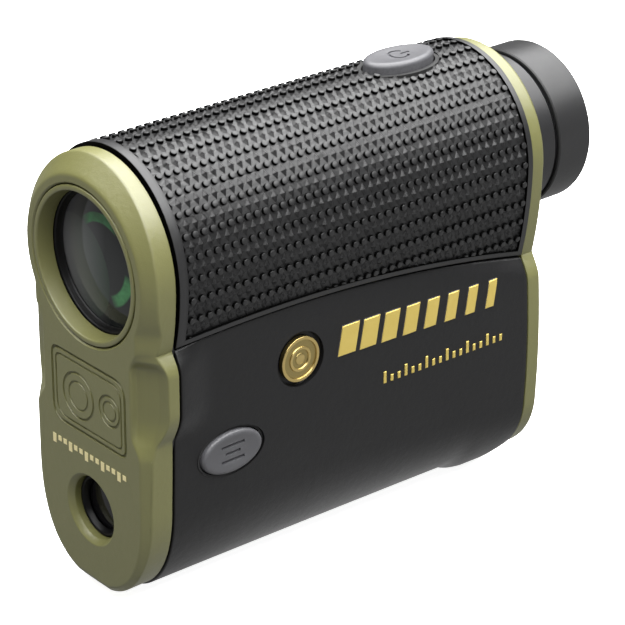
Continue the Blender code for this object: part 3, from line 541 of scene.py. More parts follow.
def flex_film():
    """Amber film over rows of conductors."""
    finish = Finish("flex_film")
    pitch, film, copper = 0.0004, (0.52, 0.22, 0.03), (0.70, 0.38, 0.10)
    rows = finish.math("SINE", finish.times(finish.place_of("Y"), 2 * math.pi / pitch))
    finish.tint(finish.blend(finish.remap(rows, -0.2, 0.2), film, copper))
    return finish.uneven(0.0006, 0.25, 0.4).bump(rows, 0.00001).material


def cell_wrap():
    """The cell's printed sleeve: two plain colour bands and a metal end."""
    finish = Finish("cell_wrap")
    start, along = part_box("battery")[0].y, finish.place_of("Y")
    band, end = [finish.math("GREATER_THAN", along, start + offset) for offset in (0.009, 0.0255)]
    colour = finish.blend(band, (0.45, 0.46, 0.48), (0.03, 0.06, 0.26))
    finish.tint(finish.blend(end, colour, (0.6, 0.6, 0.6)))
    finish.set("Metallic", finish.math("MAXIMUM", end, 0.2)).uneven(0.001, 0.25, 0.42, 4.0)
    return finish.bump(finish.noise(0.0008), 0.000006).material


TABLE_GLOW, FOOT_GLOW = 0.26, 0.95


def floor_finish():
    """A pale table. The camera sees it white; to the object it glows softly, and most under the object."""
    finish = Finish("floor").set("Roughness", 0.9)
    seen = finish.nodes.new("ShaderNodeLightPath").outputs["Is Camera Ray"]
    finish.tint(finish.blend(seen, (0.05, 0.05, 0.05), (0.88, 0.88, 0.88)))
    finish.set("Emission Color", (1.0, 1.0, 1.0))
    away = finish.length(finish.place_of("X"), finish.times(finish.place_of("Y"), 0.62))
    glow = finish.remap(away, 0.014, 0.034, FOOT_GLOW, TABLE_GLOW)
    unseen = finish.times(glow, finish.math("SUBTRACT", 1.0, seen))
    finish.set("Emission Strength", finish.math("MULTIPLY_ADD", seen, 0.9, unseen))
    return finish.bump(finish.noise(0.0015, 3.0), 0.00001).material


OLIVE = moulded(
    "olive_paint", (0.130, 0.129, 0.041), (0.137, 0.135, 0.044), 0.42, 0.00013, 0.000024, 0.9
).material
CHARCOAL = moulded(
    "charcoal_plastic", (0.0052, 0.0052, 0.0056), (0.0062, 0.0062, 0.0066), 0.44, 0.00016, 0.00003, 0.42, 0.01
).material
RUBBER = moulded(
    "black_rubber", (0.0190, 0.0190, 0.0195), (0.0215, 0.0215, 0.0220), 0.36, 0.00012, 0.000010, 0.36, 0.008
).material
GRIP = grip_rubber()
SEAL = moulded("seal_rubber", (0.010, 0.010, 0.010), (0.016, 0.016, 0.016), 0.7, 0.0001, 0.000008).material
BUTTON = grey_rubber()
# Dark paint for the buttons' icons, which also makes the painted shadows round the side bars.
ICON_AND_SHADOW_PAINT = moulded("icon_and_shadow_paint", (0.028, 0.028, 0.032), (0.04, 0.04, 0.045), 0.5, 0.0001, 0.000005).material
METAL = black_metal("black_metal", 0.017, 0.38)
# A less shiny copy of the black metal for the rings down in the bores; its darker tone is painted shade.
SHADED_BLACK_METAL = black_metal("shaded_black_metal", 0.0035, 0.15)
GOLD = gold_metal()
PRINT = gold_print("gold_print", (0.62, 0.47, 0.11), (0.68, 0.53, 0.15))
PALE_PRINT = gold_print("pale_gold_print", (0.86, 0.76, 0.40), (0.92, 0.82, 0.46))
STEEL = brushed("steel", 0.001, (0.48, 0.48, 0.49), (0.62, 0.62, 0.63), 0.00005, 14, 0.24).material
GLASS = optical_glass()
# The objective's glass, with painted reflections.
PAINTED_REFLECTION_GLASS = lens_with_painted_reflections()
WINDOW = window_glass()
BOARD = circuit_board()
CHIP = moulded("chip", (0.012, 0.012, 0.014), (0.020, 0.020, 0.022), 0.45, 0.00005, 0.000004).material
FILM = flex_film()
CELL = cell_wrap()


# Body sections. Each half outline runs from the crown down the +X side to the base.


def taper(behind):
    return (behind - FRONT_COVER_BACK) / (HOUSING_BACK - FRONT_COVER_BACK)


def barrel_size(section, behind, inset=0.0):
    """Rise, half-width and drop of a barrel section at a station, moved inwards by an inset."""
    rise, front, rear, front_drop, rear_drop = section
    share = taper(behind)
    return rise - inset, mix(front, rear, share) - inset, mix(front_drop, rear_drop, share) - inset


def armour_edge(behind):
    """Height of the armour's lower edge, which arches over the flank."""
    crest, crest_at, bend = -0.0093, 0.022, 2.0
    return crest - bend * (behind - crest_at) ** 2


def heel_drop(behind):
    """Drop of the heel that the rangefinder rests on, below the rest of the base."""
    rise, crest, end, toe = 0.0670, 0.0715, 0.0755, 0.0830
    return HEEL_DROP * min(ease((behind - rise) / (crest - rise)), ease((toe - behind) / (toe - end)))


def body_width(behind, above):
    """Half-width of the waist and the flank below it, with the bulge that fades out behind the front."""
    share = taper(behind)
    flanks = FLANK_FRONT, FLANK_REAR
    front, rear = [width - bow * ((above - middle) / reach) ** 2 for width, bow, middle, reach in flanks]
    waist = mix(WAIST_FRONT, WAIST_REAR, share)
    shoulder = swell((armour_edge(behind) - above) / SHOULDER)
    fade = 1 - ease((behind - FRONT_COVER_BACK) / BULGE_LENGTH)
    bulge = BULGE * swell((BULGE_TOP - above) / BULGE_RISE) * swell((above - BULGE_FOOT) / BULGE_FALL)
    return mix(waist, mix(front, rear, share), shoulder) + fade * bulge


def barrel_points(section, behind, edge, inset=0.0):
    """From the crown down to a height below the optical axis."""
    rise, width, drop = barrel_size(section, behind, inset)
    crown = [(width * math.sin(a), rise * math.cos(a)) for a in spread(0, math.pi / 2, 40)]
    return crown + [(width * math.sqrt(1 - (above / drop) ** 2), above) for above in spread(0, edge, 12)[1:]]


def lower_points(behind, edge, width_at=body_width, base=HULL_DROP, power=HULL_POWER):
    """Shoulder, flank and rounded base below the height edge, ending on a narrow flat under the body."""
    top = edge - SHOULDER
    belly = mix(BELLY_FRONT, BELLY_REAR, taper(behind))
    heights = spread(edge, top, 18)[1:] + spread(top, belly, 36)[1:]
    points = [(width_at(behind, above), above) for above in heights]
    half_width = points[-1][0]
    drop = base + heel_drop(behind) + belly
    flat = BASE_FLAT - base - heel_drop(behind)
    last = math.asin(((belly - flat) / drop) ** (power / 2))
    for angle in spread(0, last, 26)[1:]:
        across, down = math.cos(angle) ** (2 / power), math.sin(angle) ** (2 / power)
        points.append((half_width * across, belly - drop * down))
    return points + [(0.0, flat)]


def cover_half(behind):
    edge = armour_edge(behind)
    return barrel_points(BARREL, behind, edge) + lower_points(behind, edge, base=COVER_DROP)


def housing_half(behind):
    edge = armour_edge(behind) - GAP
    under = barrel_points(ARMOUR_SKIN, behind, edge, ARMOUR + GAP)
    corner, low = (body_width(behind, edge), edge), (body_width(behind, edge - 0.0009), edge - 0.0009)
    ledge = fillet([under[-1], corner, low], 0.0004)
    return under + ledge[1:-1] + lower_points(behind, edge - 0.0008)


def face_width(_, above):
    """Half-width of the front face: the disc, the collar under it, the scooped neck, then the foot."""
    disc = math.sqrt(max(FACE_RADIUS**2 - above**2, 0.0))
    width = mix(FACE_COLLAR, FACE_NECK, swell((BULGE_TOP - above) / NECK_RUN))
    return max(disc, mix(width, FACE_FOOT, ease((FOOT_TOP - above) / FOOT_RUN)))


def chamfer_slope(above):
    """Reach outwards for each unit backwards on the front cover's chamfer, which is flatter in the scoops."""
    scoop = swell((BULGE_TOP - above) / 0.0030) * ease((above + 0.0284) / 0.0044)
    return 1.2 + 0.6 * scoop


def chamfer_ring(face, wall):
    """Where the chamfer that starts at the face's outline meets the side wall."""
    points = []
    for (x, above), (far_x, far_above) in zip(face, wall):
        reach = math.hypot(far_x - x, far_above - above)
        points.append(place(far_x, reach / chamfer_slope(above), far_above))
    return points


def hollow_ring(face, wall, share, depth):
    """A station part of the way along the chamfer: sunk in the scoops, and raised on the ledge above them."""
    points = []
    for (x, above), (far_x, far_above), end in zip(face, wall, chamfer_ring(face, wall)):
        scoop = ease((-0.0110 - above) / 0.0022) * swell((above + 0.0258) / 0.0042)
        ledge = swell((-0.0099 - above) / 0.0004) * (1 - ease((-0.0104 - above) / 0.0012))
        sink = depth * (scoop - 0.25 * ledge)
        behind = share * (end.y - FRONT_Y) + 0.4 * sink
        across = mix(x, far_x, share)
        across -= math.copysign(0.9 * sink, x) if x else 0.0
        points.append(place(across, behind, mix(above, far_above, share)))
    return points


def face_half():
    behind = FRONT_COVER_BACK
    edge = armour_edge(behind)
    rise, width, _ = barrel_size(BARREL, behind)
    points = []
    for x, above in barrel_points(BARREL, behind, edge):
        if above > 0:
            points.append((x * FACE_RADIUS / width, above * FACE_RADIUS / rise))
        else:
            points.append((face_width(behind, above), above))
    return points + lower_points(behind, edge, face_width, FACE_BASE, 2.4)


def whole(half):
    return half + [(-x, z) for x, z in half[-2:0:-1]]


def inset_outline(outline, distance):
    """Moves each point of a closed outline inwards, square to the line between its neighbours."""
    moved = []
    for i, (x, z) in enumerate(outline):
        before, after = outline[i - 1], outline[(i + 1) % len(outline)]
        along = Vector((after[0] - before[0], after[1] - before[1])).normalized()
        moved.append((x + along.y * distance, z - along.x * distance))
    return moved


def ring(outline, behind):
    return [place(x, behind, above) for x, above in outline]


def rounded_loft(name, rings, cuts, sharp=35):
    """Lofts through rings, rounding the corners that the surface turns at each of them."""
    lines = [fillet(line, cuts) for line in zip(*rings)]
    return loft(name, list(zip(*lines)), sharp)


# Barrel surface, by the distance round it from the crown


ROW_STEP = 0.0001


def barrel_table(rise, half_width, drop, count=460):
    """(x, height, outward x, outward height) down the +X side, every ROW_STEP round from the crown."""
    rows = []
    angle = 0.0
    for _ in range(count):
        tall = rise if angle <= math.pi / 2 else drop
        normal = Vector((tall * math.sin(angle), half_width * math.cos(angle))).normalized()
        rows.append((half_width * math.sin(angle), tall * math.cos(angle), *normal))
        angle += ROW_STEP / math.hypot(half_width * math.cos(angle), tall * math.sin(angle))
    return rows


FRONT_ROWS = barrel_table(ARMOUR_SKIN[0], ARMOUR_SKIN[1], ARMOUR_SKIN[3])
REAR_ROWS = barrel_table(ARMOUR_SKIN[0], ARMOUR_SKIN[2], ARMOUR_SKIN[4])


def on_barrel(around, behind, out=0.0):
    """A point on the barrel's skin, out from it by a distance."""
    share, low = math.modf(abs(around) / ROW_STEP)
    pairs = [table[int(low):int(low) + 2] for table in (FRONT_ROWS, REAR_ROWS)]
    rows = [[mix(a, b, share) for a, b in zip(*pair)] for pair in pairs]
    x, above, nx, nz = [mix(a, b, taper(behind)) for a, b in zip(*rows)]
    side = 1 if around >= 0 else -1
    return place(side * (x + nx * out), behind, above + nz * out)


def edge_around(behind):
    """Distance round from the crown to the armour's lower edge."""
    share, edge = taper(behind), armour_edge(behind)
    for i, (near, far) in enumerate(zip(FRONT_ROWS, REAR_ROWS)):
        above = mix(near[1], far[1], share)
        if above < edge:
            last = mix(FRONT_ROWS[i - 1][1], REAR_ROWS[i - 1][1], share)
            return (i - 1 + (last - edge) / (last - above)) * ROW_STEP


# Pieces


def grip_field(name, low, high, slack=0.0):
    """The block of space over the armour's patterned field, between two levels."""
    rings = []
    for behind in spread(HOUSING_FRONT + FRONT_BAND + slack, HOUSING_BACK - REAR_BAND - slack, 40):
        reach = edge_around(behind) - EDGE_BAND - slack
        arounds = spread(-reach, reach, 160)
        upper = [on_barrel(around, behind, high) for around in arounds]
        lower = [on_barrel(around, behind, low) for around in reversed(arounds)]
        rings.append(upper + lower)
    return loft(name, rings)


def stud(bm, around, behind, levels):
    """A stud on the barrel through levels, each an outline and its height above the field."""
    rings = []
    for outline, height in levels:
        rings.append([on_barrel(around + u, behind + v, height - FIELD_DEPTH) for u, v in outline])
    add_loft(bm, rings)


def grip_studs():
    sides = 14
    turn = [2 * math.pi * (i + 0.5) / sides for i in range(sides)]
    round_levels = [([(r * math.cos(a), r * math.sin(a)) for a in turn], height) for r, height in STUD]
    pointed_levels = []
    for scale, height in ((1.3, -0.3), (1.0, 0.0), (0.12, 0.92), (0.05, 1.0)):
        u, v = POINT_AROUND * scale, POINT_ALONG * scale
        pointed_levels.append(([(u, 0), (0, v), (-u, 0), (0, -v)], POINT_HEIGHT * height))
    bm = bmesh.new()
    first_row = -math.floor(edge_around(HOUSING_BACK) / ROW_PITCH) - 1
    for row in range(2 * first_row, -2 * first_row + 2):
        around = FIRST_ROW + row * ROW_PITCH / 2
        pointed = row % 2
        behind = FIRST_STUD + (STUD_PITCH / 2 if pointed else 0.0)
        while behind < HOUSING_BACK - REAR_BAND + STUD_PITCH:
            inside = behind > HOUSING_FRONT + FRONT_BAND - STUD_PITCH
            if inside and abs(around) < edge_around(min(behind, HOUSING_BACK)) - EDGE_BAND + POINT_AROUND:
                stud(bm, around, behind, pointed_levels if pointed else round_levels)
            behind += STUD_PITCH
    return add_mesh("studs", bm)


def rounded_stations(front_corner, back_corner, margin, count):
    """(station, drop) pairs along the housing, with both ends rounded."""
    turn = [(1 - math.cos(a), 1 - math.sin(a)) for a in spread(0, math.pi / 2, 4)]
    stations = [(HOUSING_FRONT + front_corner * along, front_corner * drop) for along, drop in turn]
    stations += [(behind, 0.0) for behind in spread(HOUSING_FRONT + margin, HOUSING_BACK - margin, count)]
    stations += [(HOUSING_BACK - back_corner * along, back_corner * drop) for along, drop in turn[::-1]]
    return stations


def grip_armor():
    corner = 0.00025
    turn = [(math.sin(a), math.cos(a)) for a in spread(0, math.pi / 2, 4)]
    rings = []
    for behind, drop in rounded_stations(0.00014, 0.0001, 0.001, 30):
        reach = edge_around(behind)
        outer = [on_barrel(around, behind, -drop) for around in spread(corner - reach, reach - corner, 160)]
        right = [on_barrel(reach - corner + corner * u, behind, corner * (v - 1) - drop) for u, v in turn[1:]]
        inner = [on_barrel(around, behind, -ARMOUR) for around in spread(reach, -reach, 160)]
        left = [on_barrel(corner - corner * u - reach, behind, corner * (v - 1) - drop) for u, v in turn[1:]]
        rings.append(outer + right + inner + left[::-1])
    armour = loft("grip_armor_skin", rings)
    combine(armour, [grip_field("field", -FIELD_DEPTH, 0.001)])
    studs = grip_studs()
    combine(studs, [grip_field("field", -0.001, 0.001, 0.00020)], "INTERSECT")
    combine(armour, [studs], "UNION")
    combine(armour, [key_block("power_button", 0.0010, WELL)])
    settle(even_normals(armour), GRIP, "grip_armor")


def main_housing():
    rings = []
    for behind, drop in rounded_stations(0.00022, 0.00022, 0.0008, 60):
        rings.append(ring(inset_outline(whole(housing_half(behind)), drop), behind))
    housing = loft("main_housing_shell", rings)
    hollow = []
    for behind in spread(HOUSING_FRONT - 0.001, HOUSING_BACK + 0.001, 24):
        at = min(max(behind, HOUSING_FRONT), HOUSING_BACK)
        hollow.append(ring(inset_outline(whole(housing_half(at)), WALL), behind))
    combine(housing, [loft("hollow", hollow)])
    outside = 0.0180
    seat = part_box("mode_button")[1].x - 0.0015
    badge, floor = centre("side_badge"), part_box("side_badge")[0].x - 0.0002
    recess = [(0, floor), (0.0045, floor), (0.0047, floor + 0.0002), (0.0047, outside), (0, outside)]
    cutters = [
        key_block("power_button", GAP, WELL),
        key_block("mode_button", GAP, (0.0100, outside)),
        key_block("mode_button", 0.0006, (seat, outside)),
        turned("badge_recess", recess, Vector((0, badge.y, badge.z)), turn=ALONG_X),
    ]
    for side in (0, 1):
        leg = [loop_leg(side, out) for out in (-0.004, 0.003)]
        cutters.append(wire("loop_hole", leg, LOOP_WIRE + 0.0001, closed=False, sides=12))
    combine(housing, cutters)
    settle(even_normals(housing), CHARCOAL, "main_housing")


def key_point(node, u, v, out):
    """A point by a button: u along the body from its middle, v square to that, and out along its travel."""
    middle = MIDDLE[node]
    point = Vector((middle.x + v, middle.y + u, middle.z + v))
    point[TRAVEL[node]] = out
    return point


def key_block(node, margin, levels):
    """An oval block between two levels, larger than a button by a margin."""
    half = half_size(node)
    outline = ellipse(half.y + margin, half[2 - TRAVEL[node]] + margin)
    return loft("block", [[key_point(node, u, v, out) for u, v in outline] for out in levels])


# Front cover


def side_plane(behind, above, out):
    """A point on the +X flank, out from it by a distance."""
    return place(body_width(behind, above) + out, behind, above)


def rounded_box(left, right, low, high, radii, steps=8):
    """A box outline whose corners, from the lower left round, have their own radii."""
    return fillet([(left, low), (right, low), (right, high), (left, high)], radii, steps, closed=True)


def bore(name, radius, above, face, inside):
    """A cutter along the body, from inside it to past a face, where it opens out by a small bevel."""
    sign = math.copysign(1, inside - face)
    wide, outside = radius + 0.0003, face - 0.001 * sign
    profile = [(0, outside), (wide, outside), (wide, face), (radius, face + 0.0003 * sign), (radius, inside)]
    return turned(name, profile + [(0, inside)], place(0, 0, above), 128)


def front_cover():
    face, wall = whole(face_half()), whole(cover_half(FRONT_COVER_BACK))
    middle, inner_scale = -0.020, 0.955
    inner_face = [(inner_scale * x, mix(middle, above, inner_scale)) for x, above in face]
    back = FRONT_COVER_BACK + 0.0001
    rings = [ring(inner_face, PRINT_DEPTH), ring(face, PRINT_DEPTH)]
    rings += [hollow_ring(face, wall, share, depth) for share, depth in SCOOP_HOLLOW]
    rings += [chamfer_ring(face, wall), ring(wall, back), ring(inset_outline(wall, 0.0012), back)]
    cuts = [0, 0.00035, 0.0002, 0.0002, 0.0002, 0.00028, 0.00012, 0]
    cover = rounded_loft("front_cover_shell", rings, cuts)
    inner = inset_outline(wall, 0.0020)
    pocket = loft("pocket", [ring(inner, 0.0034), ring(inner, 0.0070)])
    mouth = [(0, -0.001), (LASER_MOUTH + 0.0012, -0.001), (LASER_MOUTH + 0.0001, 0.0)]
    mouth += [(LASER_MOUTH - 0.0002, 0.00015), (LASER_BORE, LASER_CONE), (LASER_BORE, 0.008), (0, 0.008)]
    holes = [bore("bore", OBJECTIVE_BORE, 0, 0.0, 0.008), turned("mouth", mouth, place(0, 0, -LASER))]
    combine(cover, [pocket, *holes])
    combine(cover, plaque_grooves())
    settle(even_normals(cover), OLIVE, "front_cover")


def plaque_grooves():
    """A double frame with two double rings in it."""
    outer = rounded_box(-0.0089, 0.0098, -0.0290, -0.0163, [0.0030, 0.0014, 0.0030, 0.0016])
    inner = rounded_box(-0.0079, 0.0088, -0.0280, -0.0173, [0.0026, 0.0010, 0.0026, 0.0012])
    cuts = [wire("frame", ring(outer, 0.00016), 0.00032), wire("frame", ring(inner, 0.00012), 0.00022)]
    for x, above, radius in ((-0.0022, -0.02295, 0.0039), (0.00585, -0.0224, 0.00255)):
        for share, groove, sunk in ((1.0, 0.00025, 0.00010), (0.62, 0.00020, 0.00008)):
            circle = ellipse(radius * share, radius * share, 64)
            cuts.append(wire("ring", [place(x + u, sunk, above + v) for u, v in circle], groove))
    return cuts


def front_marks():
    """A plain pale gold line of dashes between the plaque and the laser's mouth."""
    bm = bmesh.new()
    left, right, low, high = -0.0097, 0.0100, -0.0338, -0.0322
    count, half = 14, 0.00042
    pitch = (right - left) / count
    for i in range(count):
        x = left + pitch * (i + 0.5)
        bottom = low if i % 3 == 0 else mix(low, high, 0.45)
        outline = [(x - half, bottom), (x + half, bottom), (x + half, high), (x - half, high)]
        add_loft(bm, [ring(outline, 0.0002), ring(outline, 0.0)])
    settle(add_mesh("front_scale_marks", bm), PALE_PRINT)


def objective():
    axis = place(0, 0, 0)
    outer, inner, front, back = OBJECTIVE_BORE - 0.0002, 0.01165, 0.00005, 0.0030
    trim = [(outer, back), (outer, front), (0.0119, front), (inner, 0.0024), (inner, back)]
    trim = fillet(trim, [0, 0.0003, 0.00025, 0.0002, 0])
    settle(turned("objective_trim", trim, axis, 128), OLIVE, "objective_trim_ring")
    retainer = [(0.0124, 0.0043), (0.0124, 0.0032), (0.01145, 0.0031), (0.0113, 0.0032)]
    for share in spread(0, 1, 4)[:-1]:
        radius, along = mix(0.01125, 0.0110, share), mix(0.0033, 0.0042, share)
        retainer += [(radius, along), (radius - 0.00005, along + 0.00018)]
    retainer += [(0.0109, 0.0043)]
    # The retaining ring takes the copy of the black metal that is darkened as painted shade.
    settle(turned("objective_retaining_ring", retainer, axis, 128), SHADED_BLACK_METAL, "objective_retainer")
    front, back, radius = span("objective_front_lens")
    crown, back_crown = 0.0009, 0.0006
    profile = [(radius * s, front + crown * s * s) for s in spread(0, 1, 24)]
    profile += [(radius * s, back - back_crown * s * s) for s in spread(1, 0, 24)]
    settle(turned("objective_glass", profile, axis, 128), PAINTED_REFLECTION_GLASS, "objective_front_lens")


def laser_window():
    axis = place(0, 0, -LASER)
    front, back, radius = span("laser_window")
    profile = [(0, front), (radius - 0.0003, front), (radius, front + 0.0003), (radius, back), (0, back)]
    settle(turned("laser_aperture_glass", profile, axis), WINDOW, "laser_window")
    corners = [(0.0042, 0.0030), (0.0052, 0.0030), (0.0052, 0.0020), (0.0047, 0.0020)]
    profile = fillet(corners, 0.00015, closed=True)
    # The ring takes the copy of the black metal that is darkened as painted shade.
    settle(turned("laser_aperture_ring", profile, axis), SHADED_BLACK_METAL, "laser_window_retainer")


# Side marks, badge and buttons


def side_bar(bm, corners, out, margin):
    """A bar on the +X flank with bevelled edges, grown by a margin. Corners are (behind, above) pairs: front
    low, rear low, rear high, front high."""
    first, second, third, fourth = (Vector(c) for c in corners)
    bevel = 0.00008

    def shares(size, count):
        grown, inner = margin / size, (bevel - margin) / size
        return [-grown, *spread(inner, 1 - inner, count), 1 + grown]

    rings = []
    ups, acrosses = shares((fourth - first).length, 12), shares((second - first).length, 6)
    for up in ups:
        start, end = first.lerp(fourth, up), second.lerp(third, up)
        line = [start.lerp(end, across) for across in acrosses]
        drops = [0.0] * len(line) if ups[0] < up < ups[-1] else [bevel] * len(line)
        drops[0] = drops[-1] = bevel
        top = [side_plane(*point, out - drop) for point, drop in zip(line, drops)]
        rings.append(top + [side_plane(*point, -0.0003) for point in reversed(line)])
    add_loft(bm, rings)


def range_bars():
    """Corners of the slanted bars, which grow narrower towards the rear."""
    start, end, slant, count = 0.0378, 0.0744, 0.0011, 8
    pitch = (end - start) / count
    bars = []
    for i, share in enumerate(spread(0, 1, count - 1)):
        low, high = mix(-0.0213, -0.0222, share), mix(-0.0163, -0.0176, share)
        left = start + pitch * i
        right = left + pitch * mix(0.80, 0.40, share)
        bars.append(((left, low), (right, low), (right + slant, high), (left + slant, high)))
    return bars


def range_ticks():
    start, end, wide, low, count = 0.0475, 0.0746, 0.0006, -0.0291, 18
    ticks = []
    for i in range(count):
        left, high = start + (end - start) / count * i, (-0.0270 if i % 3 == 0 else -0.0279)
        ticks.append(((left, low), (left + wide, low), (left + wide, high), (left, high)))
    return ticks


def side_marks():
    """Slanted gold bars with a row of short ticks under them, on thin black surrounds that are painted
    shadows.
    """
    pieces = (
        ("side_range_bars", range_bars(), PRINT, 0.00020, 0.0),
        ("side_range_ticks", range_ticks(), PRINT, 0.00012, 0.0),
        # Painted shadows: thin black sheets, a little larger than the bars, round their raised edges.
        ("side_bar_painted_shadows", range_bars(), ICON_AND_SHADOW_PAINT, 0.00006, 0.00014),
    )
    for name, shapes, material, out, margin in pieces:
        bm = bmesh.new()
        for corners in shapes:
            side_bar(bm, corners, out, margin)
        settle(add_mesh(name, bm), material)


def side_badge():
    low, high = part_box("side_badge")
    middle, radius, foot, top = centre("side_badge"), (high.y - low.y) / 2, low.x, high.x
    sunk, raised = top - 0.00025, top - 0.00005
    profile = [(0, foot), (radius, foot)]
    profile += fillet([(radius, foot), (radius, top), (radius - 0.0005, top)], 0.0001)[1:]
    profile += [(radius - 0.0006, sunk), (0.0022, sunk), (0.0021, raised), (0.0017, raised), (0.0016, sunk)]
    profile += [(0.0010 * math.cos(a), sunk + 0.0002 * math.sin(a)) for a in spread(0, math.pi / 2, 6)[:-1]]
    profile += [(0, raised)]
    badge = turned("side_badge_disc", profile, Vector((0, middle.y, middle.z)), 96, ALONG_X, 30)
    settle(badge, GOLD, "side_badge")


def button(name, node, edge, icon, icon_wire):
    """An oval key with a rounded rim and a faintly dished face, which its icon's lines are cut into."""
    axis, half = TRAVEL[node], half_size(node)
    foot, top = [corner[axis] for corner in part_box(node)]
    levels = [(0.0, foot), (0.0, top - edge)]
    for angle in spread(0, math.pi / 2, 6)[1:]:
        levels.append((edge * (1 - math.cos(angle)), top - edge + edge * math.sin(angle)))
    outlines = [(ellipse(half.y - inset, half[2 - axis] - inset), out) for inset, out in levels]
    dish, rim = 0.00012, outlines[-1][0]
    for scale in (0.93, 0.84, 0.7, 0.5, 0.25, 0.05):
        outlines.append(([(u * scale, v * scale) for u, v in rim], top - dish * ease((1 - scale) / 0.5)))
    key = loft(name, [[key_point(node, u, v, out) for u, v in outline] for outline, out in outlines], 60)
    key.data.materials.append(BUTTON)
    cutters = []
    for line in icon:
        points = [key_point(node, u, v, top - dish) for u, v in line]
        cutters.append(wire("icon", points, icon_wire, closed=False))
        cutters[-1].data.materials.append(ICON_AND_SHADOW_PAINT)
    combine(key, cutters, sharp=40, keep_paint=True)
    settle(even_normals(key), BUTTON, node, body=node)


def power_button():
    radius, turn = 0.0016, spread(math.radians(35), math.radians(325), 24)
    icon = [[(radius * math.cos(a), radius * math.sin(a)) for a in turn], [(0.0004, 0), (0.0023, 0)]]
    button("power_key", "power_button", 0.0008, icon, 0.00024)


def mode_button():
    lines = ((0.0023, 0.0013), (0.0015, 0.0), (0.0023, -0.0013))
    icon = [[(-half, above), (half, above)] for half, above in lines]
    button("mode_key", "mode_button", 0.0006, icon, 0.00026)


def mode_seal():
    """A thin rubber lip round the mode button."""
    (inner, *_), (outer, *_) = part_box("mode_button_seal")
    seal = key_block("mode_button", 0.00055, (inner, outer))
    seal.name = "mode_seal"
    combine(seal, [key_block("mode_button", 0.00022, (inner - 0.001, outer + 0.001))])
    settle(seal, SEAL, "mode_button_seal")


# Rear


SCREWS = [f"rear_cover_screw_{i}" for i in (1, 2, 3, 4)]


def screw_axis(node):
    middle = centre(node)
    return Vector((middle.x, FRONT_Y, middle.z))


def rear_cover():
    near, far = REAR_COVER_FRONT, REAR_COVER_BACK
    outline = whole(cover_half(near))
    inner = inset_outline(outline, 0.0010)
    rings = [ring(inner, near), ring(outline, near), ring(outline, far), ring(inner, far)]
    cover = rounded_loft("rear_cover_plate", rings, [0, 0.0002, 0.0006, 0])
    front, back, seat = near - 0.001, far + 0.001, far - 0.0012
    bores = (("eyepiece_bore", 0.0129, 0.0), ("battery_bore", 0.0102, -BATTERY))
    cutters = [bore(name, radius, above, far, front) for name, radius, above in bores]
    head = [(0, front), (0.0011, front), (0.0011, seat), (0.0019, seat), (0.0019, far - 0.0001)]
    head += [(0.0021, far + 0.0001), (0.0021, back), (0, back)]
    cutters += [turned("screw_seat", head, screw_axis(node), 48) for node in SCREWS]
    combine(cover, cutters)
    settle(even_normals(cover), OLIVE, "rear_cover")


def rear_gasket():
    outline = whole(cover_half(REAR_COVER_FRONT))
    front, back = HOUSING_BACK + 0.00002, REAR_COVER_FRONT - 0.00002
    outer, inner = inset_outline(outline, 0.0008), inset_outline(outline, 0.0016)
    seal = loft("rear_seal", [ring(outer, front), ring(outer, back)])
    combine(seal, [loft("opening", [ring(inner, front - 0.001), ring(inner, back + 0.001)])])
    settle(seal, SEAL, "rear_gasket")


def rear_screws():
    """Round-headed screws with a hexagon socket."""
    for i, node in enumerate(SCREWS, 1):
        tip, head, radius = span(node)
        axis = screw_axis(node)
        neck, under = head - 0.0012, head - 0.0010
        crest, root, turns = 0.0008, 0.00066, 22
        profile = [(0, head), (radius - 0.0003, head), (radius, head - 0.0003), (radius, under)]
        profile += [(crest, under)]
        pitch = (neck - tip - 0.0006) / turns
        for k in range(turns):
            profile += [(crest, neck - pitch * k), (root, neck - pitch * (k + 0.5))]
        profile += [(0.0006, tip + 0.0003), (0.0003, tip), (0, tip)]
        screw = turned(f"cover_screw_{i}", profile, axis, 36)
        socket, depths = ellipse(0.00085, 0.00085, 6), (head - 0.0007, head + 0.0005)
        rings = [[axis + Vector((u, along, v)) for u, v in socket] for along in depths]
        combine(screw, [loft("socket", rings)])
        settle(screw, STEEL, node)


def eyepiece():
    axis = place(0, 0, 0)
    front, back, radius = span("eyepiece_neck")
    start, rim, wide = span("eyecup")
    bored, throat, shoulder = 0.0126, 0.0115, 0.0830
    seam, bevel = start - 0.0005, 0.0003
    collar = [(bored, front), (bored, 0.0808), (throat, 0.0808), (throat, 0.0822), (bored, 0.0822)]
    collar += [(bored, shoulder), (radius - bevel, shoulder), (radius, shoulder + bevel)]
    collar += [(radius, seam - bevel), (radius - bevel, seam), (0.0120, seam), (0.0120, back)]
    collar += [(0.0109, back), (0.0109, front)]
    settle(even_normals(turned("eyepiece_collar", collar, axis, 128)), METAL, "eyepiece_neck")
    inner, seat = 0.0134, 0.0954
    lip = [(wide, rim - 0.003), (wide, rim), (0.0108, rim), (0.0096, rim - 0.0006), (0.0094, seat)]
    cup = [(inner, start), (wide - 0.0002, start), (wide, start + 0.0002)]
    cup += fillet(lip, [0, 0.0005, 0.0005, 0.0004, 0], 6) + [(inner, seat)]
    settle(even_normals(turned("eyecup_rubber", cup, axis, 128)), RUBBER, "eyecup", body="focus_ring")


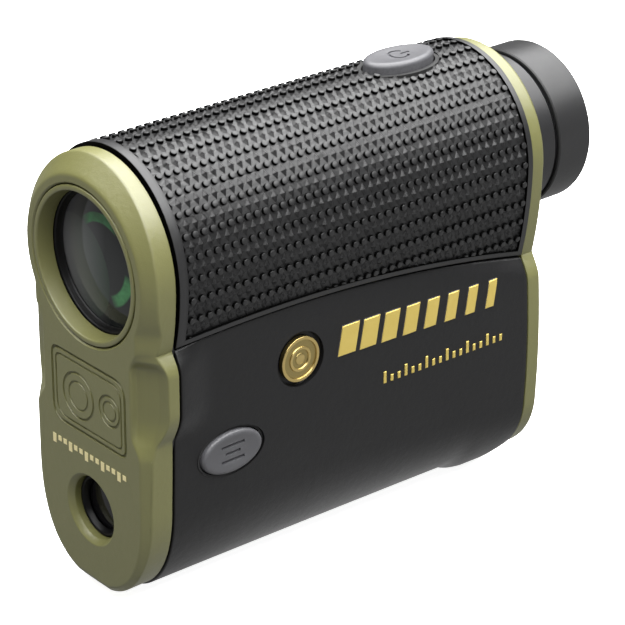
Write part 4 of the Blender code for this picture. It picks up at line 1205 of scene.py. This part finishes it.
def battery_cap():
    front, back, radius = span("battery_cap")
    plug, groove, flange = 0.0076, 0.0066, 0.0804
    profile = [(0, front), (plug, front), (plug, 0.0784), (groove, 0.0784), (groove, 0.0796), (plug, 0.0796)]
    profile += [(plug, flange), (radius, flange)]
    profile += fillet([(radius, flange), (radius, back), (0.0084, back)], 0.0006)[1:]
    profile += [(0.0081, back - 0.0002), (0.0078, back - 0.0002), (0.0075, back), (0, back)]
    cap = turned("battery_cap_body", profile, place(0, 0, -BATTERY), 128)
    slot = rounded_box(-0.0065, 0.0065, -0.0010, 0.0010, 0.0009, 6)
    rings = [[place(u, along, v - BATTERY) for u, v in slot] for along in (back - 0.0016, back + 0.001)]
    cutters = [loft("coin_slot", rings)]
    notches, out = 24, radius + 0.00035
    for i in range(notches):
        angle = 2 * math.pi * (i + 0.5) / notches
        x, above = out * math.cos(angle), out * math.sin(angle) - BATTERY
        ends = [place(x, along, above) for along in (flange + 0.0022, back + 0.001)]
        cutters.append(wire("notch", ends, 0.0006, closed=False))
    combine(cap, cutters)
    settle(even_normals(cap), CHARCOAL, "battery_cap", body="battery_cap")


LOOP_WIRE = 0.0007
LOOP_BEHIND = (0.0590, 0.0650)
LOOP_FOOT = (-0.0128, -0.0510)
LOOP_OUT = Vector((-0.72, 0.0, -0.69)).normalized()


def loop_leg(side, out):
    return place(LOOP_FOOT[0], LOOP_BEHIND[side], LOOP_FOOT[1]) + LOOP_OUT * out


def lanyard_loop():
    corners = [loop_leg(side, out) for side, out in ((0, -0.0028), (0, 0.0030), (1, 0.0030), (1, -0.0028))]
    loop = wire("lanyard_staple", fillet(corners, 0.0016, 8), LOOP_WIRE, closed=False, sides=16)
    settle(loop, STEEL, "lanyard_loop")


# CAD nodes that keep their shapes

KEPT = {
    METAL: "objective_tube objective_spacer prism_carrier laser_tube ocular_cell focus_ring",
    GLASS: "objective_rear_lens half_penta_prism roof_prism display_panel laser_collimator_lens "
           "eye_lens field_lens",
    STEEL: "battery_spring laser_diode receiver_photodiode power_switch_stem mode_switch_stem",
    BOARD: "main_circuit_board laser_diode_board receiver_board power_switch_board",
    CHIP: "processor_chip timing_chip tilt_sensor power_switch_body mode_switch_body",
    SEAL: "front_gasket objective_o_ring eyepiece_o_ring battery_cap_o_ring power_button_seal",
    FILM: "flex_cable",
    CELL: "battery",
    CHARCOAL: "battery_tube",
}


def dress_kept_nodes():
    for material, names in KEPT.items():
        for name in names.split():
            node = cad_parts[name]
            node.data.materials.clear()
            node.data.materials.append(material)


# Stage


def stage():
    bm = bmesh.new()
    bmesh.ops.create_grid(bm, x_segments=1, y_segments=1, size=3.0)
    floor = add_mesh("floor", bm)
    floor.location.z = CAD_BOUNDS[0][2] - 0.0001
    floor.data.materials.append(floor_finish())


def area_light(name, where, target, size, power):
    light = bpy.data.lights.new(name, "AREA")
    light.shape = "RECTANGLE"
    light.size, light.size_y = size
    light.energy = power
    obj = bpy.data.objects.new(name, light)
    obj.location = where
    obj.rotation_euler = (where - target).to_track_quat("Z", "Y").to_euler()
    bpy.context.scene.collection.objects.link(obj)


def lights():
    middle = place(0, 0.045, -0.020)
    above = middle + Vector((0.05, 0.12, 0.40))
    area_light("overhead", above, above - Vector((0, 0, 1)), (0.8, 0.9), 16.5)
    area_light("side_fill", middle + Vector((0.60, -0.10, 0.20)), middle, (0.4, 0.3), 0.4)
    world = bpy.data.worlds.new("studio")
    bpy.context.scene.world = world
    world.use_nodes = True
    nodes, links = world.node_tree.nodes, world.node_tree.links
    background = nodes["Background"]
    background.inputs["Color"].default_value = (1.0, 1.0, 1.0, 1.0)
    strength = nodes.new("ShaderNodeMapRange")
    strength.inputs["To Min"].default_value = 0.05
    strength.inputs["To Max"].default_value = 1.0
    links.new(nodes.new("ShaderNodeLightPath").outputs["Is Camera Ray"], strength.inputs["Value"])
    links.new(strength.outputs["Result"], background.inputs["Strength"])


def camera():
    """Looks down and from the right at the front, as the product stands in a catalogue view."""
    azimuth, elevation, roll = 48.6, 25.73, 0.64
    data = bpy.data.cameras.new("camera")
    data.sensor_width, data.lens = 36.0, 141.7
    obj = bpy.data.objects.new("camera", data)
    eye = place(0.2762, -0.1970, 0.1554)
    obj.matrix_world = Matrix.Translation(eye)
    for angle, axis in ((azimuth, "Z"), (90 - elevation, "X"), (roll, "Z")):
        obj.matrix_world @= Matrix.Rotation(math.radians(angle), 4, axis)
    bpy.context.scene.collection.objects.link(obj)
    bpy.context.scene.camera = obj


grip_armor()
main_housing()
front_cover()
front_marks()
objective()
laser_window()
side_marks()
side_badge()
power_button()
mode_button()
mode_seal()
rear_cover()
rear_gasket()
rear_screws()
eyepiece()
battery_cap()
lanyard_loop()
dress_kept_nodes()
stage()
lights()
camera()
bpy.context.scene.view_settings.view_transform = "Standard"
